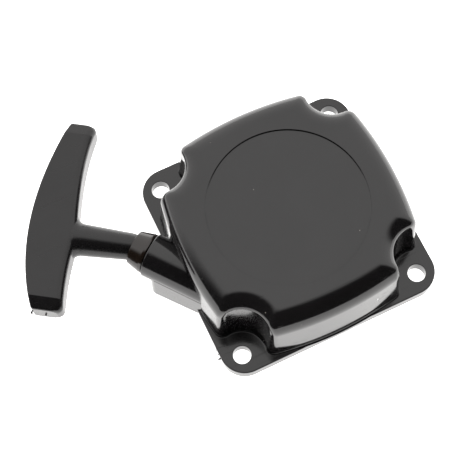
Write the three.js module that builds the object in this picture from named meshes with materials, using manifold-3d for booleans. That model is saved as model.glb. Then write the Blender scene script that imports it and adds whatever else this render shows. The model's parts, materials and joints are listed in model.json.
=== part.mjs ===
// Recoil starter of a small petrol engine: a domed housing with a spring-loaded rope reel, and a T handle.
// Millimetres. Built round the crank axis (+Z, out of the dome) with the mounting face at z = 0,
// and the whole assembly is then moved so that the origin is the middle of its footprint.

import * as THREE from 'three';
import { mergeVertices } from 'three/addons/utils/BufferGeometryUtils.js';
import Module from 'manifold-3d';

const wasm = await Module();
wasm.setup();

const degrees = Math.PI / 180;

// ---- driving dimensions ----

const gap = 0.3; // between pieces that rest on or in each other
const runningGap = 0.4; // radial play of pieces that turn on each other

const boltPitch = 67;
const boltHoleRadius = 3.1;
const boltEdge = 7; // from a bolt's centre to the nearest sides of the flange
const flangeThickness = 5.2;
const flangeCornerRadius = 8.8;

const housingHeight = 30.3;
const sideReach = 40.3; // from the crank axis to the middle of each bowed side
const sideBowRadius = 120;
const hollowWall = 2.78; // between the reel's space and the hollow round each bolt
const lobeRadius = 6; // rounds the meeting of a side and a bolt hollow
const shoulderRadius = 5.8;
const draftAngle = 4 * degrees;
const labelRadius = 27.7;
const labelDepth = 0.6;
const roofThickness = 2.4;
const cavityRadius = 35.2;

const postRadius = 6.5;
const insertRadius = 3.6;
const insertLength = 11;
const screwRadius = 2.4;
const screwHeadRadius = 5;
const screwHeadHeight = 1.6;
const washerOverhang = 2.1; // past the centre post
const washerThickness = 0.8;

const ropeRadius = 1.5;
const ropeHeight = 13; // height of the rope's line above the mounting face
const ropeMargin = 3.5; // rim of the reel's flanges past the wound rope
const ropeTail = 3; // rope behind the point where it leaves the reel

const outletAngle = 127.5 * degrees; // direction in which the rope leaves
const outletReach = 36.8; // from the foot of the crank axis' perpendicular to the boss' end face
const bossRadius = 7.8;
const bossBoreRadius = 5;
const webSetback = 2.6;
const webSpread = 0.3; // how far each side of the web leans out at its foot
const webCornerRadius = 3;

const guideRingLength = 6;
const guideBaseRadius = 7.2;
const guideRimWall = 0.9;
const guideSpigotLength = 9;
const mouthPlay = 0.6; // round the handle's nose in the guide's mouth

const reelClearance = 2.2; // between the reel's rim and the housing
const reelTopClearance = 1.2; // between the reel and the spring's cover
const reelFlangeThickness = 1.6;
const reelGrooveWidth = 6.4;
const reelRootRadius = 22;
const reelCoreSetback = 1.4; // of the core's side behind the groove's root
const reelCoreDrop = 0.6; // how far the core stands below the lower flange
const reelHubWall = 2.1;

const springStrip = 0.6;
const springTurns = 5;
const springPitch = 1.5;
const sheetThickness = 0.7;

const pawlClearance = 0.85; // between a pawl and the friction spring
const pawlPostRadius = 1.8;
const pawlHubRadius = 3.5;
const pawlLength = 12;
const pawlTipRadius = 1.3;
const pawlThickness = 2.8;
const pawlRestAngle = -118 * degrees; // of its arm, from the line through its pivot
const pawlSwing = 32 * degrees;
const pegReach = 6; // from the pawl's pivot to the peg that runs in the guide plate
const pegRadius = 1.1;
const pawlSpringWire = 0.5;

const guidePlateThickness = 0.9;
const guidePlateRim = 2.8; // past the friction spring's wire
const guidePlateTurn = 24 * degrees;
const guideEarRadius = 3.4;
const slotSlack = 0.6;
const frictionSpringWire = 0.9;
const frictionSpringPlay = 1.05; // between its coils and the centre post
const frictionSpringTurns = 3;
const frictionPocketDepth = 3.06; // in the reel's core

const handleTurn = 18.6 * degrees; // how far the handle is rocked out of line with the outlet
const noseRadius = 4.5;
const stemTipRadius = 4.7;
const stemRootRadius = 5.7;
const gripStart = 21.5; // along the stem, from the guide's mouth to the finger side of the grip
const gripReach = 35.8; // and to its outer side
const gripLongArm = 40.2;
const gripShortArm = 26.8;
const gripThickness = 11.6;
const gripShortEndWidth = 10.2;
const gripLongEndWidth = 8;
const gripSweep = 5.6; // how far each end of the crescent sweeps back towards the fingers
const gripRounding = 2.2;
const knotPocketRadius = 4.6;
const knotPocketDepth = 11;
const knotRadius = 3.3;
const knotFlattening = 0.85; // of the knot pulled tight in the handle
const knotWall = 2.2; // of the reel's root, outside the knot
const knotWasherThickness = 1;
const gripCapThickness = 2;
const gripCapRecess = 1.2;

// ---- dimensions that follow ----

const flangeSide = boltPitch + 2 * boltEdge;
const boltHollowRadius = boltPitch * Math.SQRT1_2 - cavityRadius - hollowWall;
const roofHeight = housingHeight - labelDepth - roofThickness; // underside of the roof
const springCaseRadius = cavityRadius - gap;
const springOuterRadius = springCaseRadius - sheetThickness - gap;
const grooveBottom = ropeHeight - reelGrooveWidth / 2;
const grooveTop = ropeHeight + reelGrooveWidth / 2;
const reelBottom = grooveBottom - reelFlangeThickness;
const reelTop = grooveTop + reelFlangeThickness;
const coreBottom = reelBottom - reelCoreDrop;
const springCoverTop = reelTop + reelTopClearance + sheetThickness;
const springBottom = springCoverTop + gap;
const springCaseTop = roofHeight - gap;
const springTop = springCaseTop - sheetThickness - gap;
const reelBoreRadius = postRadius + runningGap;
const reelHubRadius = reelBoreRadius + reelHubWall;
const reelFlangeRadius = cavityRadius - reelClearance;
const reelCoreRadius = reelRootRadius - reelCoreSetback;
const packRadius = reelFlangeRadius - ropeMargin; // outside of the wound rope
const outletOffset = packRadius + gap + ropeRadius; // from the crank axis to the rope's line
const guideRimReach = outletReach + gap + guideRingLength; // the mouth, where the handle's nose sits
const guideMouthRadius = noseRadius + mouthPlay;
const guideRimRadius = guideMouthRadius + guideRimWall;
const frictionSpringRadius = postRadius + frictionSpringPlay + frictionSpringWire / 2; // to the wire's centre
const frictionPocketTop = coreBottom + frictionPocketDepth;
const pawlPivotRadius = frictionSpringRadius + frictionSpringWire / 2 + pawlClearance + pawlHubRadius;
const pawlTop = coreBottom - gap;
const pawlBottom = pawlTop - pawlThickness;
const guidePlateTop = pawlBottom - gap;
const guidePlateBottom = guidePlateTop - guidePlateThickness;
const guidePlateRadius = frictionSpringRadius + guidePlateRim;
const postEndHeight = guidePlateBottom;
const insertTop = postEndHeight + gap + insertLength;
const washerRadius = postRadius + washerOverhang;
const washerTop = postEndHeight - gap;
const screwHeadTop = washerTop - washerThickness - gap;
const pocketFloor = gripReach - knotPocketDepth; // along the stem
const pawlCount = 2;

// ---- finishes ----

const blackPlastic = new THREE.MeshStandardMaterial({ color: 0x2b292a, roughness: 0.38 });
const greyPlastic = new THREE.MeshStandardMaterial({ color: 0x3b3a3b, roughness: 0.5 });
const reelPlastic = new THREE.MeshStandardMaterial({ color: 0xc9c5b8, roughness: 0.5 });
const springSteel = new THREE.MeshStandardMaterial({ color: 0x5c6068, roughness: 0.35, metalness: 1 });
const platedSteel = new THREE.MeshStandardMaterial({ color: 0xb9b6a6, roughness: 0.3, metalness: 1 });
const brass = new THREE.MeshStandardMaterial({ color: 0xb58f42, roughness: 0.35, metalness: 1 });
const nylonRope = new THREE.MeshStandardMaterial({ color: 0xd8d5cc, roughness: 0.9 });

// ---- helpers: closed geometry, cuts and joins ----

// A closed geometry as a manifold solid; its seams are merged and its zero-width triangles dropped.
function solid(geometry) {
  const bare = geometry.clone();
  bare.deleteAttribute('normal');
  bare.deleteAttribute('uv');
  const merged = mergeVertices(bare, 1e-4);
  const corners = merged.index.array;
  const kept = [];
  for (let i = 0; i < corners.length; i += 3) {
    const [a, b, c] = corners.subarray(i, i + 3);
    if (a !== b && b !== c && c !== a) kept.push(a, b, c);
  }
  const vertProperties = new Float32Array(merged.attributes.position.array);
  return new wasm.Manifold(new wasm.Mesh({ numProp: 3, vertProperties, triVerts: new Uint32Array(kept) }));
}

function join(...geometries) {
  return geometries.map(solid).reduce((whole, piece) => whole.add(piece));
}

function cut(body, ...geometries) {
  return geometries.map(solid).reduce((whole, piece) => whole.subtract(piece), body);
}

function surfaceOf(manifold) {
  const { vertProperties, triVerts } = manifold.getMesh();
  const geometry = new THREE.BufferGeometry();
  geometry.setAttribute('position', new THREE.BufferAttribute(new Float32Array(vertProperties), 3));
  geometry.setIndex(new THREE.BufferAttribute(new Uint32Array(triVerts), 1));
  geometry.computeVertexNormals();
  return geometry;
}

function addPart(group, name, shape, material) {
  const body = shape.isBufferGeometry ? solid(shape) : shape;
  const mesh = new THREE.Mesh(surfaceOf(body), material);
  mesh.name = name;
  group.add(mesh);
  return mesh;
}

// Turns a closed profile of [radius, height] points round Z, faces outwards whichever way it is listed.
function turned(profile, sides = 48) {
  const points = profile.map(([radius, height]) => new THREE.Vector2(radius, height));
  if (THREE.ShapeUtils.area(points) < 0) points.reverse();
  const closed = [...points, points[0].clone()];
  return new THREE.LatheGeometry(closed, sides).rotateX(Math.PI / 2);
}

function tube(innerRadius, outerRadius, bottom, top, sides = 48) {
  const profile = [[innerRadius, bottom], [outerRadius, bottom], [outerRadius, top], [innerRadius, top]];
  return turned(profile, sides);
}

function cylinder(radius, bottom, top, sides = 24) {
  return new THREE.CylinderGeometry(radius, radius, top - bottom, sides)
    .rotateX(Math.PI / 2)
    .translate(0, 0, (bottom + top) / 2);
}

// The same shapes along X, for the rope outlet and the handle's stem.
function alongX(geometry) {
  return geometry.rotateY(Math.PI / 2);
}

function slab(shape, bottom, top, curveSegments = 6) {
  const settings = { depth: top - bottom, bevelEnabled: false, curveSegments };
  return new THREE.ExtrudeGeometry(shape, settings).translate(0, 0, bottom);
}

// A round wire or rope along a curve.
function strand(curve, radius, steps, sides) {
  const section = new THREE.Shape();
  for (let i = 0; i < sides; i += 1) {
    const angle = (i / sides) * 2 * Math.PI;
    section[i ? 'lineTo' : 'moveTo'](radius * Math.cos(angle), radius * Math.sin(angle));
  }
  return new THREE.ExtrudeGeometry(section, { steps, extrudePath: curve, bevelEnabled: false });
}

class Helix extends THREE.Curve {
  constructor(radius, bottom, top, turns) {
    super();
    Object.assign(this, { radius, bottom, top, turns });
  }

  getPoint(t, target = new THREE.Vector3()) {
    const angle = t * this.turns * 2 * Math.PI;
    const height = THREE.MathUtils.lerp(this.bottom, this.top, t);
    return target.set(this.radius * Math.cos(angle), this.radius * Math.sin(angle), height);
  }
}

function roundedRectangle(left, right, back, front, radius) {
  const shape = new THREE.Shape();
  shape.absarc(right - radius, front - radius, radius, 0, Math.PI / 2);
  shape.absarc(left + radius, front - radius, radius, Math.PI / 2, Math.PI);
  shape.absarc(left + radius, back + radius, radius, Math.PI, 1.5 * Math.PI);
  shape.absarc(right - radius, back + radius, radius, 1.5 * Math.PI, 2 * Math.PI);
  shape.closePath();
  return shape;
}

// The tangent outline round two circles: a slot with equal ends, or a tapered arm.
function armOutline(start, startRadius, end, endRadius) {
  const along = end.clone().sub(start);
  const tilt = Math.acos((startRadius - endRadius) / along.length());
  const heading = along.angle();
  const shape = new THREE.Shape();
  shape.absarc(start.x, start.y, startRadius, heading + tilt, heading + 2 * Math.PI - tilt);
  shape.absarc(end.x, end.y, endRadius, heading - tilt, heading + tilt);
  shape.closePath();
  return shape;
}

function polar(radius, angle) {
  return new THREE.Vector2(radius * Math.cos(angle), radius * Math.sin(angle));
}

// Where two circles meet; of the two points, the one clockwise from the line between their centres.
function circlesMeet(centreA, radiusA, centreB, radiusB) {
  const between = centreB.clone().sub(centreA);
  const distance = between.length();
  const reach = (distance ** 2 + radiusA ** 2 - radiusB ** 2) / (2 * distance);
  const side = Math.sqrt(radiusA ** 2 - reach ** 2);
  const along = between.divideScalar(distance);
  const across = new THREE.Vector2(along.y, -along.x).multiplyScalar(side);
  return centreA.clone().addScaledVector(along, reach).add(across);
}

// ---- housing ----

const outletFrame = new THREE.Matrix4()
  .makeRotationZ(outletAngle)
  .multiply(new THREE.Matrix4().makeTranslation(0, outletOffset, ropeHeight));

const boltCentres = [45, 135, 225, 315].map((angle) => polar(boltPitch * Math.SQRT1_2, angle * degrees));

// A bowed square whose corners are hollowed round the bolts, with rounded lobes between.
function domeOutline() {
  const sideCentre = new THREE.Vector2(sideReach - sideBowRadius, 0);
  const bolt = new THREE.Vector2(boltPitch / 2, boltPitch / 2);
  const lobe = circlesMeet(sideCentre, sideBowRadius - lobeRadius, bolt, boltHollowRadius + lobeRadius);
  const sideHalfAngle = lobe.clone().sub(sideCentre).angle();
  const hollowAngle = lobe.clone().sub(bolt).angle();
  const shape = new THREE.Shape();
  for (let quarter = 0; quarter < 4; quarter += 1) {
    const turn = (quarter * Math.PI) / 2;
    const centre = new THREE.Vector2();
    const at = (point) => point.clone().rotateAround(centre, turn);
    const side = at(sideCentre);
    const hollow = at(bolt);
    const before = at(lobe);
    const after = at(new THREE.Vector2(lobe.y, lobe.x));
    const mirrored = 2.5 * Math.PI - hollowAngle; // the hollow's far end, mirrored in the diagonal
    shape.absarc(side.x, side.y, sideBowRadius, turn - sideHalfAngle, turn + sideHalfAngle);
    shape.absarc(before.x, before.y, lobeRadius, turn + sideHalfAngle, turn + hollowAngle - Math.PI);
    shape.absarc(hollow.x, hollow.y, boltHollowRadius, turn + hollowAngle, turn + mirrored, true);
    shape.absarc(after.x, after.y, lobeRadius, turn + mirrored - Math.PI, turn + Math.PI / 2 - sideHalfAngle);
  }
  shape.closePath();
  return shape;
}

// The dome's solid, rounded at its shoulder and drawn in by the mould's draft towards the top.
function domeBlock() {
  const settings = {
    depth: housingHeight - shoulderRadius,
    bevelThickness: shoulderRadius,
    bevelSize: shoulderRadius,
    bevelOffset: -shoulderRadius,
    bevelSegments: 4,
    curveSegments: 4,
  };
  const dome = new THREE.ExtrudeGeometry(domeOutline(), settings);
  const position = dome.attributes.position;
  for (let i = 0; i < position.count; i += 1) {
    const rise = position.getZ(i) - flangeThickness;
    const scale = 1 - (Math.tan(draftAngle) * Math.max(rise, 0)) / sideReach;
    position.setXY(i, position.getX(i) * scale, position.getY(i) * scale);
  }
  const below = new THREE.BoxGeometry(2 * flangeSide, 2 * flangeSide, 2 * shoulderRadius)
    .translate(0, 0, flangeThickness / 2 - shoulderRadius);
  return cut(solid(dome), below);
}

function flangePlate() {
  const half = flangeSide / 2;
  const shape = roundedRectangle(-half, half, -half, half, flangeCornerRadius);
  for (const centre of boltCentres) {
    const hole = new THREE.Path();
    hole.absarc(centre.x, centre.y, boltHoleRadius, 0, 2 * Math.PI, true);
    shape.holes.push(hole);
  }
  return slab(shape, 0, flangeThickness, 10);
}

// The round boss that carries the rope guide, and the web that joins it to the mounting face.
function outletBoss() {
  const boss = alongX(cylinder(bossRadius, 0, outletReach, 32));
  const foot = bossRadius + webSpread;
  const outline = roundedRectangle(0, outletReach - webSetback, -foot, foot, webCornerRadius);
  const web = slab(outline, -ropeHeight, 0, 4);
  const position = web.attributes.position;
  for (let i = 0; i < position.count; i += 1) {
    const lean = position.getZ(i) > -ropeHeight / 2 ? bossRadius / foot : 1;
    position.setY(i, position.getY(i) * lean);
  }
  return join(boss.applyMatrix4(outletFrame), web.applyMatrix4(outletFrame));
}

// The round space for the reel, with the centre post standing in it.
function cavity() {
  const below = -flangeThickness;
  return turned([
    [0, below],
    [cavityRadius, below],
    [cavityRadius, roofHeight],
    [postRadius, roofHeight],
    [postRadius, postEndHeight],
    [0, postEndHeight],
  ]);
}

function housing() {
  const label = cylinder(labelRadius, housingHeight - labelDepth, housingHeight + labelDepth, 64);
  const insertPocket = cylinder(insertRadius + gap, 0, insertTop + gap, 16);
  const ropeHole = alongX(cylinder(2 * ropeRadius, 0, outletReach, 16));
  const seatFloor = outletReach - guideSpigotLength - gap;
  const guideSeat = alongX(cylinder(bossBoreRadius, seatFloor, outletReach + gap, 24));
  const body = solid(flangePlate()).add(domeBlock()).add(outletBoss());
  const ropeWay = [ropeHole, guideSeat].map((bore) => bore.applyMatrix4(outletFrame));
  return cut(body, cavity(), label, insertPocket, ...ropeWay);
}

function postInsert() {
  return tube(screwRadius + gap, insertRadius, insertTop - insertLength, insertTop, 16);
}

// ---- recoil spring ----

function springCase() {
  const post = postRadius + gap;
  return turned([
    [post, springCaseTop - sheetThickness],
    [springCaseRadius - sheetThickness, springCaseTop - sheetThickness],
    [springCaseRadius - sheetThickness, springCoverTop + gap],
    [springCaseRadius, springCoverTop + gap],
    [springCaseRadius, springCaseTop],
    [post, springCaseTop],
  ]);
}

function springCover() {
  return tube(reelHubRadius + runningGap, springCaseRadius, springCoverTop - sheetThickness, springCoverTop);
}

// A spiral strip: close turns against the case, then one wide turn in to the reel's hub.
function recoilSpring() {
  const stepsPerTurn = 26;
  const packedSteps = springTurns * stepsPerTurn;
  const innerSteps = 1.4 * stepsPerTurn;
  const packedRadius = springOuterRadius - springTurns * springPitch;
  const hubRadius = reelHubRadius + gap + springStrip;
  const outer = [];
  const inner = [];
  for (let step = 0; step <= packedSteps + innerSteps; step += 1) {
    const angle = (step / stepsPerTurn) * 2 * Math.PI;
    const packed = springOuterRadius - (Math.min(step, packedSteps) / stepsPerTurn) * springPitch;
    const inwards = THREE.MathUtils.smoothstep(step - packedSteps, 0, innerSteps);
    const radius = THREE.MathUtils.lerp(packed, hubRadius, inwards * (packedRadius > hubRadius));
    outer.push(polar(radius, angle));
    inner.unshift(polar(radius - springStrip, angle));
  }
  return slab(new THREE.Shape([...outer, ...inner]), springBottom, springTop);
}

// ---- reel and rope ----

function reelProfile() {
  const frictionRadius = frictionSpringRadius + frictionSpringWire / 2 + runningGap;
  return [
    [reelBoreRadius, frictionPocketTop],
    [frictionRadius, frictionPocketTop],
    [frictionRadius, coreBottom],
    [reelCoreRadius, coreBottom],
    [reelCoreRadius, reelBottom],
    [reelFlangeRadius, reelBottom],
    [reelFlangeRadius, grooveBottom],
    [reelRootRadius, grooveBottom],
    [reelRootRadius, grooveTop],
    [reelFlangeRadius, grooveTop],
    [reelFlangeRadius, reelTop],
    [reelHubRadius, reelTop],
    [reelHubRadius, springTop - gap],
    [reelBoreRadius, springTop - gap],
  ];
}

const knotCentre = polar(reelRootRadius - knotRadius - knotWall, Math.PI / 2);
const knotPocketTop = coreBottom + 2 * knotRadius + 2 * gap;
const pawlSpringTop = coreBottom + 3 * pawlSpringWire + gap;

function pawlPivot(index) {
  return polar(pawlPivotRadius, (index * 2 * Math.PI) / pawlCount);
}

function reel() {
  const posts = [];
  const springSeats = [];
  for (let i = 0; i < pawlCount; i += 1) {
    const { x, y } = pawlPivot(i);
    const seatRadius = pawlPostRadius + runningGap + 2 * pawlSpringWire;
    posts.push(cylinder(pawlPostRadius, pawlBottom + gap, pawlSpringTop + gap, 16).translate(x, y, 0));
    springSeats.push(cylinder(seatRadius, pawlBottom, pawlSpringTop, 16).translate(x, y, 0));
  }
  const knotPocket = cylinder(knotRadius + gap, pawlBottom, knotPocketTop, 16)
    .translate(knotCentre.x, knotCentre.y, 0);
  const ropeHole = cylinder(ropeRadius + gap, knotCentre.y, reelRootRadius + gap, 12)
    .rotateX(-Math.PI / 2)
    .translate(0, 0, grooveBottom + ropeRadius + gap);
  const body = cut(solid(turned(reelProfile())), ...springSeats, knotPocket, ropeHole);
  return posts.reduce((whole, post) => whole.add(solid(post)), body);
}

function ropeWound() {
  return tube(reelRootRadius + gap, packRadius, grooveBottom + gap, grooveTop - gap);
}

function reelRopeKnot() {
  const height = grooveBottom + ropeRadius + gap;
  const knot = new THREE.SphereGeometry(knotRadius, 14, 10)
    .rotateX(Math.PI / 2)
    .translate(knotCentre.x, knotCentre.y, coreBottom + knotRadius + gap);
  const tail = cylinder(ropeRadius, knotCentre.y, reelRootRadius - gap, 12)
    .rotateX(-Math.PI / 2)
    .translate(0, 0, height);
  return join(knot, tail);
}

// Straight from the wound rope to the handle's nose in the guide, in the outlet's own frame.
function ropeRun() {
  return alongX(cylinder(ropeRadius, -ropeTail, guideRimReach - noseRadius - 2 * gap, 12));
}

function ropeGuide() {
  const base = outletReach + gap;
  const throatRadius = ropeRadius + gap;
  const socketRadius = guideMouthRadius;
  const points = [
    [guideMouthRadius, guideRimReach],
    [guideRimRadius, guideRimReach],
    [guideBaseRadius, base],
  ];
  points.push([bossBoreRadius - gap, base], [bossBoreRadius - gap, base - guideSpigotLength]);
  points.push([throatRadius, base - guideSpigotLength]);
  const socketSteps = 6;
  const throatAngle = Math.acos(throatRadius / socketRadius);
  for (let i = 0; i < socketSteps; i += 1) {
    const angle = throatAngle * (1 - i / socketSteps);
    points.push([socketRadius * Math.cos(angle), guideRimReach - socketRadius * Math.sin(angle)]);
  }
  return alongX(turned(points, 32));
}

// ---- pawls, their guide plate and the fastening ----

// The pawl in its pivot's frame, with the line from the crank axis through the pivot along +X.
function pawl() {
  const tip = polar(pawlLength, pawlRestAngle);
  const peg = polar(pegReach, pawlRestAngle);
  const arm = armOutline(new THREE.Vector2(), pawlHubRadius, tip, pawlTipRadius);
  const bore = new THREE.Path();
  bore.absarc(0, 0, pawlPostRadius + gap, 0, 2 * Math.PI, true);
  arm.holes.push(bore);
  const pin = cylinder(pegRadius, guidePlateBottom, pawlBottom + gap, 12).translate(peg.x, peg.y, 0);
  return join(slab(arm, pawlBottom, pawlTop, 5), pin);
}

function pawlSpring() {
  const radius = pawlPostRadius + gap + pawlSpringWire / 2;
  const bottom = coreBottom + pawlSpringWire / 2;
  const coil = new Helix(radius, bottom, pawlSpringTop - gap - pawlSpringWire / 2, 1.4);
  return strand(coil, pawlSpringWire / 2, 24, 6);
}

// Where a pawl's peg lies, seen from the guide plate, when the pawl has swung by a share of its travel.
function pegOnPlate(share) {
  const peg = new THREE.Vector2(pawlPivotRadius, 0).add(polar(pegReach, pawlRestAngle + share * pawlSwing));
  return peg.rotateAround(new THREE.Vector2(), -share * guidePlateTurn);
}

function pawlGuide() {
  const slotRadius = pegRadius + slotSlack;
  const bore = cylinder(postRadius + runningGap, 0, coreBottom);
  const pieces = [cylinder(guidePlateRadius, guidePlateBottom, guidePlateTop, 40)];
  const slots = [];
  for (let i = 0; i < pawlCount; i += 1) {
    const turn = (i * 2 * Math.PI) / pawlCount;
    const [start, end] = [pegOnPlate(0), pegOnPlate(1)];
    const ear = armOutline(start, guideEarRadius, end, guideEarRadius);
    pieces.push(slab(ear, guidePlateBottom, guidePlateTop).rotateZ(turn));
    const slot = armOutline(start, slotRadius, end, slotRadius);
    slots.push(slab(slot, 0, coreBottom, 4).rotateZ(turn));
  }
  return cut(join(...pieces), bore, ...slots);
}

function frictionSpring() {
  const bottom = guidePlateTop + gap + frictionSpringWire / 2;
  const top = frictionPocketTop - gap - frictionSpringWire / 2;
  const coil = new Helix(frictionSpringRadius, bottom, top, frictionSpringTurns);
  return strand(coil, frictionSpringWire / 2, 18 * frictionSpringTurns, 6);
}

function retainingWasher() {
  return tube(screwRadius + gap, washerRadius, washerTop - washerThickness, washerTop, 32);
}

function centreScrew() {
  const headBottom = screwHeadTop - screwHeadHeight;
  const head = turned([
    [0, headBottom],
    [0.7 * screwHeadRadius, headBottom],
    [screwHeadRadius, screwHeadTop - 0.4 * screwHeadHeight],
    [screwHeadRadius, screwHeadTop],
    [0, screwHeadTop],
  ], 24);
  const shank = cylinder(screwRadius, screwHeadTop - gap, insertTop, 16);
  const driveWidth = 1.1;
  const driveDepth = screwHeadHeight;
  const drive = [0, 90].map((angle) => new THREE.BoxGeometry(screwHeadRadius, driveWidth, driveDepth)
    .translate(0, 0, headBottom)
    .rotateZ(angle * degrees));
  return cut(join(head, shank), ...drive);
}

// ---- handle, in its own frame: +X out along the stem from the guide's mouth ----

// The crescent grip seen from above, with the fillets that run out of the stem.
function gripOutline() {
  const round = 1.5 * gripRounding;
  const end = gripReach - gripSweep;
  const shortInner = end - gripShortEndWidth;
  const longInner = end - gripLongEndWidth;
  const fillet = 3;
  const bow = { outer: 5.4, shortInner: 0.1, longInner: 4.3 }; // how far each side's control point stands off
  const endTilt = 0.5;
  const filletReach = stemRootRadius + fillet;
  const shape = new THREE.Shape();
  shape.moveTo(gripStart - fillet, stemRootRadius);
  shape.quadraticCurveTo(gripStart, stemRootRadius, gripStart, filletReach);
  shape.quadraticCurveTo(gripStart + bow.shortInner, gripShortArm / 2, shortInner, gripShortArm - round);
  shape.quadraticCurveTo(shortInner, gripShortArm, shortInner + round, gripShortArm);
  shape.lineTo(end - round, gripShortArm);
  shape.quadraticCurveTo(end, gripShortArm, end + endTilt, gripShortArm - round);
  shape.quadraticCurveTo(gripReach + bow.outer, -gripLongArm / 10, end + endTilt, round - gripLongArm);
  shape.quadraticCurveTo(end, -gripLongArm, end - round, -gripLongArm);
  shape.lineTo(longInner + round, -gripLongArm);
  shape.quadraticCurveTo(longInner, -gripLongArm, longInner, round - gripLongArm);
  shape.quadraticCurveTo(gripStart + bow.longInner, -gripLongArm / 2, gripStart, -filletReach);
  shape.quadraticCurveTo(gripStart, -stemRootRadius, gripStart - fillet, -stemRootRadius);
  shape.closePath();
  return shape;
}

function gripBlock() {
  const depth = gripThickness / 2;
  const settings = {
    depth,
    bevelThickness: (gripThickness - depth) / 2,
    bevelSize: gripRounding,
    bevelOffset: -gripRounding,
    bevelSegments: 3,
    curveSegments: 6,
  };
  return new THREE.ExtrudeGeometry(gripOutline(), settings).translate(0, 0, -depth / 2);
}

// A round stem with a ball nose centred on the guide's mouth.
function stem() {
  const noseSteps = 5;
  const points = [];
  for (let i = 0; i <= noseSteps; i += 1) {
    const angle = ((i / noseSteps) * Math.PI) / 2;
    points.push([noseRadius * Math.sin(angle), -noseRadius * Math.cos(angle)]);
  }
  const rootStart = gripStart - 1;
  const end = gripStart + 4;
  points.push([stemTipRadius, stemTipRadius / 2], [stemRootRadius, rootStart]);
  points.push([stemRootRadius, end], [0, end]);
  return alongX(turned(points, 24));
}

function handleGrip() {
  const ropeBore = alongX(cylinder(ropeRadius + runningGap, -2 * noseRadius, gripReach, 12));
  const knotPocket = alongX(cylinder(knotPocketRadius, pocketFloor, gripReach + knotPocketDepth, 20));
  return cut(join(gripBlock(), stem()), ropeBore, knotPocket);
}

function ropeLead() {
  return alongX(cylinder(ropeRadius, gap - noseRadius, pocketFloor + gap + knotWasherThickness, 12));
}

function knotWasher() {
  const bottom = pocketFloor + gap;
  return alongX(tube(ropeRadius + gap, knotPocketRadius - gap, bottom, bottom + knotWasherThickness, 20));
}

function gripRopeKnot() {
  const start = pocketFloor + 2 * gap + knotWasherThickness;
  return alongX(new THREE.SphereGeometry(knotRadius, 14, 10)
    .rotateX(Math.PI / 2)
    .scale(1, 1, knotFlattening)
    .translate(0, 0, start + knotFlattening * knotRadius));
}

function gripCap() {
  const top = gripReach - gripCapRecess;
  return alongX(cylinder(knotPocketRadius - gap, top - gripCapThickness, top, 20));
}

// ---- assembly ----

function placed(parent, matrix) {
  const group = new THREE.Group();
  group.applyMatrix4(matrix);
  parent.add(group);
  return group;
}

const starter = new THREE.Group();

addPart(starter, 'housing', housing(), blackPlastic);
addPart(starter, 'post_insert', postInsert(), brass);
addPart(starter, 'spring_case', springCase(), platedSteel);
addPart(starter, 'recoil_spring', recoilSpring(), springSteel);
addPart(starter, 'spring_cover', springCover(), platedSteel);
addPart(starter, 'reel', reel(), reelPlastic);
addPart(starter, 'rope_wound', ropeWound(), nylonRope);
addPart(starter, 'reel_rope_knot', reelRopeKnot(), nylonRope);
addPart(starter, 'pawl_guide', pawlGuide(), platedSteel);
addPart(starter, 'friction_spring', frictionSpring(), springSteel);
addPart(starter, 'retaining_washer', retainingWasher(), platedSteel);
addPart(starter, 'centre_screw', centreScrew(), platedSteel);

for (let i = 0; i < pawlCount; i += 1) {
  const turn = new THREE.Matrix4().makeRotationZ((i * 2 * Math.PI) / pawlCount);
  const pivot = placed(starter, turn.multiply(new THREE.Matrix4().makeTranslation(pawlPivotRadius, 0, 0)));
  addPart(pivot, `pawl_${i + 1}`, pawl(), platedSteel);
  addPart(pivot, `pawl_spring_${i + 1}`, pawlSpring(), springSteel);
}

const outlet = placed(starter, outletFrame);
addPart(outlet, 'rope_guide', ropeGuide(), greyPlastic);
addPart(outlet, 'rope_run', ropeRun(), nylonRope);

const pull = new THREE.Group();
pull.position.x = guideRimReach;
pull.rotation.z = handleTurn;
outlet.add(pull);
addPart(pull, 'handle_grip', handleGrip(), blackPlastic);
addPart(pull, 'rope_lead', ropeLead(), nylonRope);
addPart(pull, 'knot_washer', knotWasher(), platedSteel);
addPart(pull, 'grip_rope_knot', gripRopeKnot(), nylonRope);
addPart(pull, 'grip_cap', gripCap(), greyPlastic);

// The origin is the middle of the footprint, on the mounting face.
const recoilStarter = new THREE.Group();
recoilStarter.add(starter);
recoilStarter.updateMatrixWorld(true);
const extent = new THREE.Box3().setFromObject(starter, true);
starter.position.set(-(extent.min.x + extent.max.x) / 2, -(extent.min.y + extent.max.y) / 2, -extent.min.z);

export default recoilStarter;
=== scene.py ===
"""Looks of the recoil starter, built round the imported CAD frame.

Every piece is made in metres in the row frame: +Z out of the dome, the mounting face at z = 0.
"""

import json
import math

import bmesh
import bpy
from mathutils import Matrix, Vector


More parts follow.
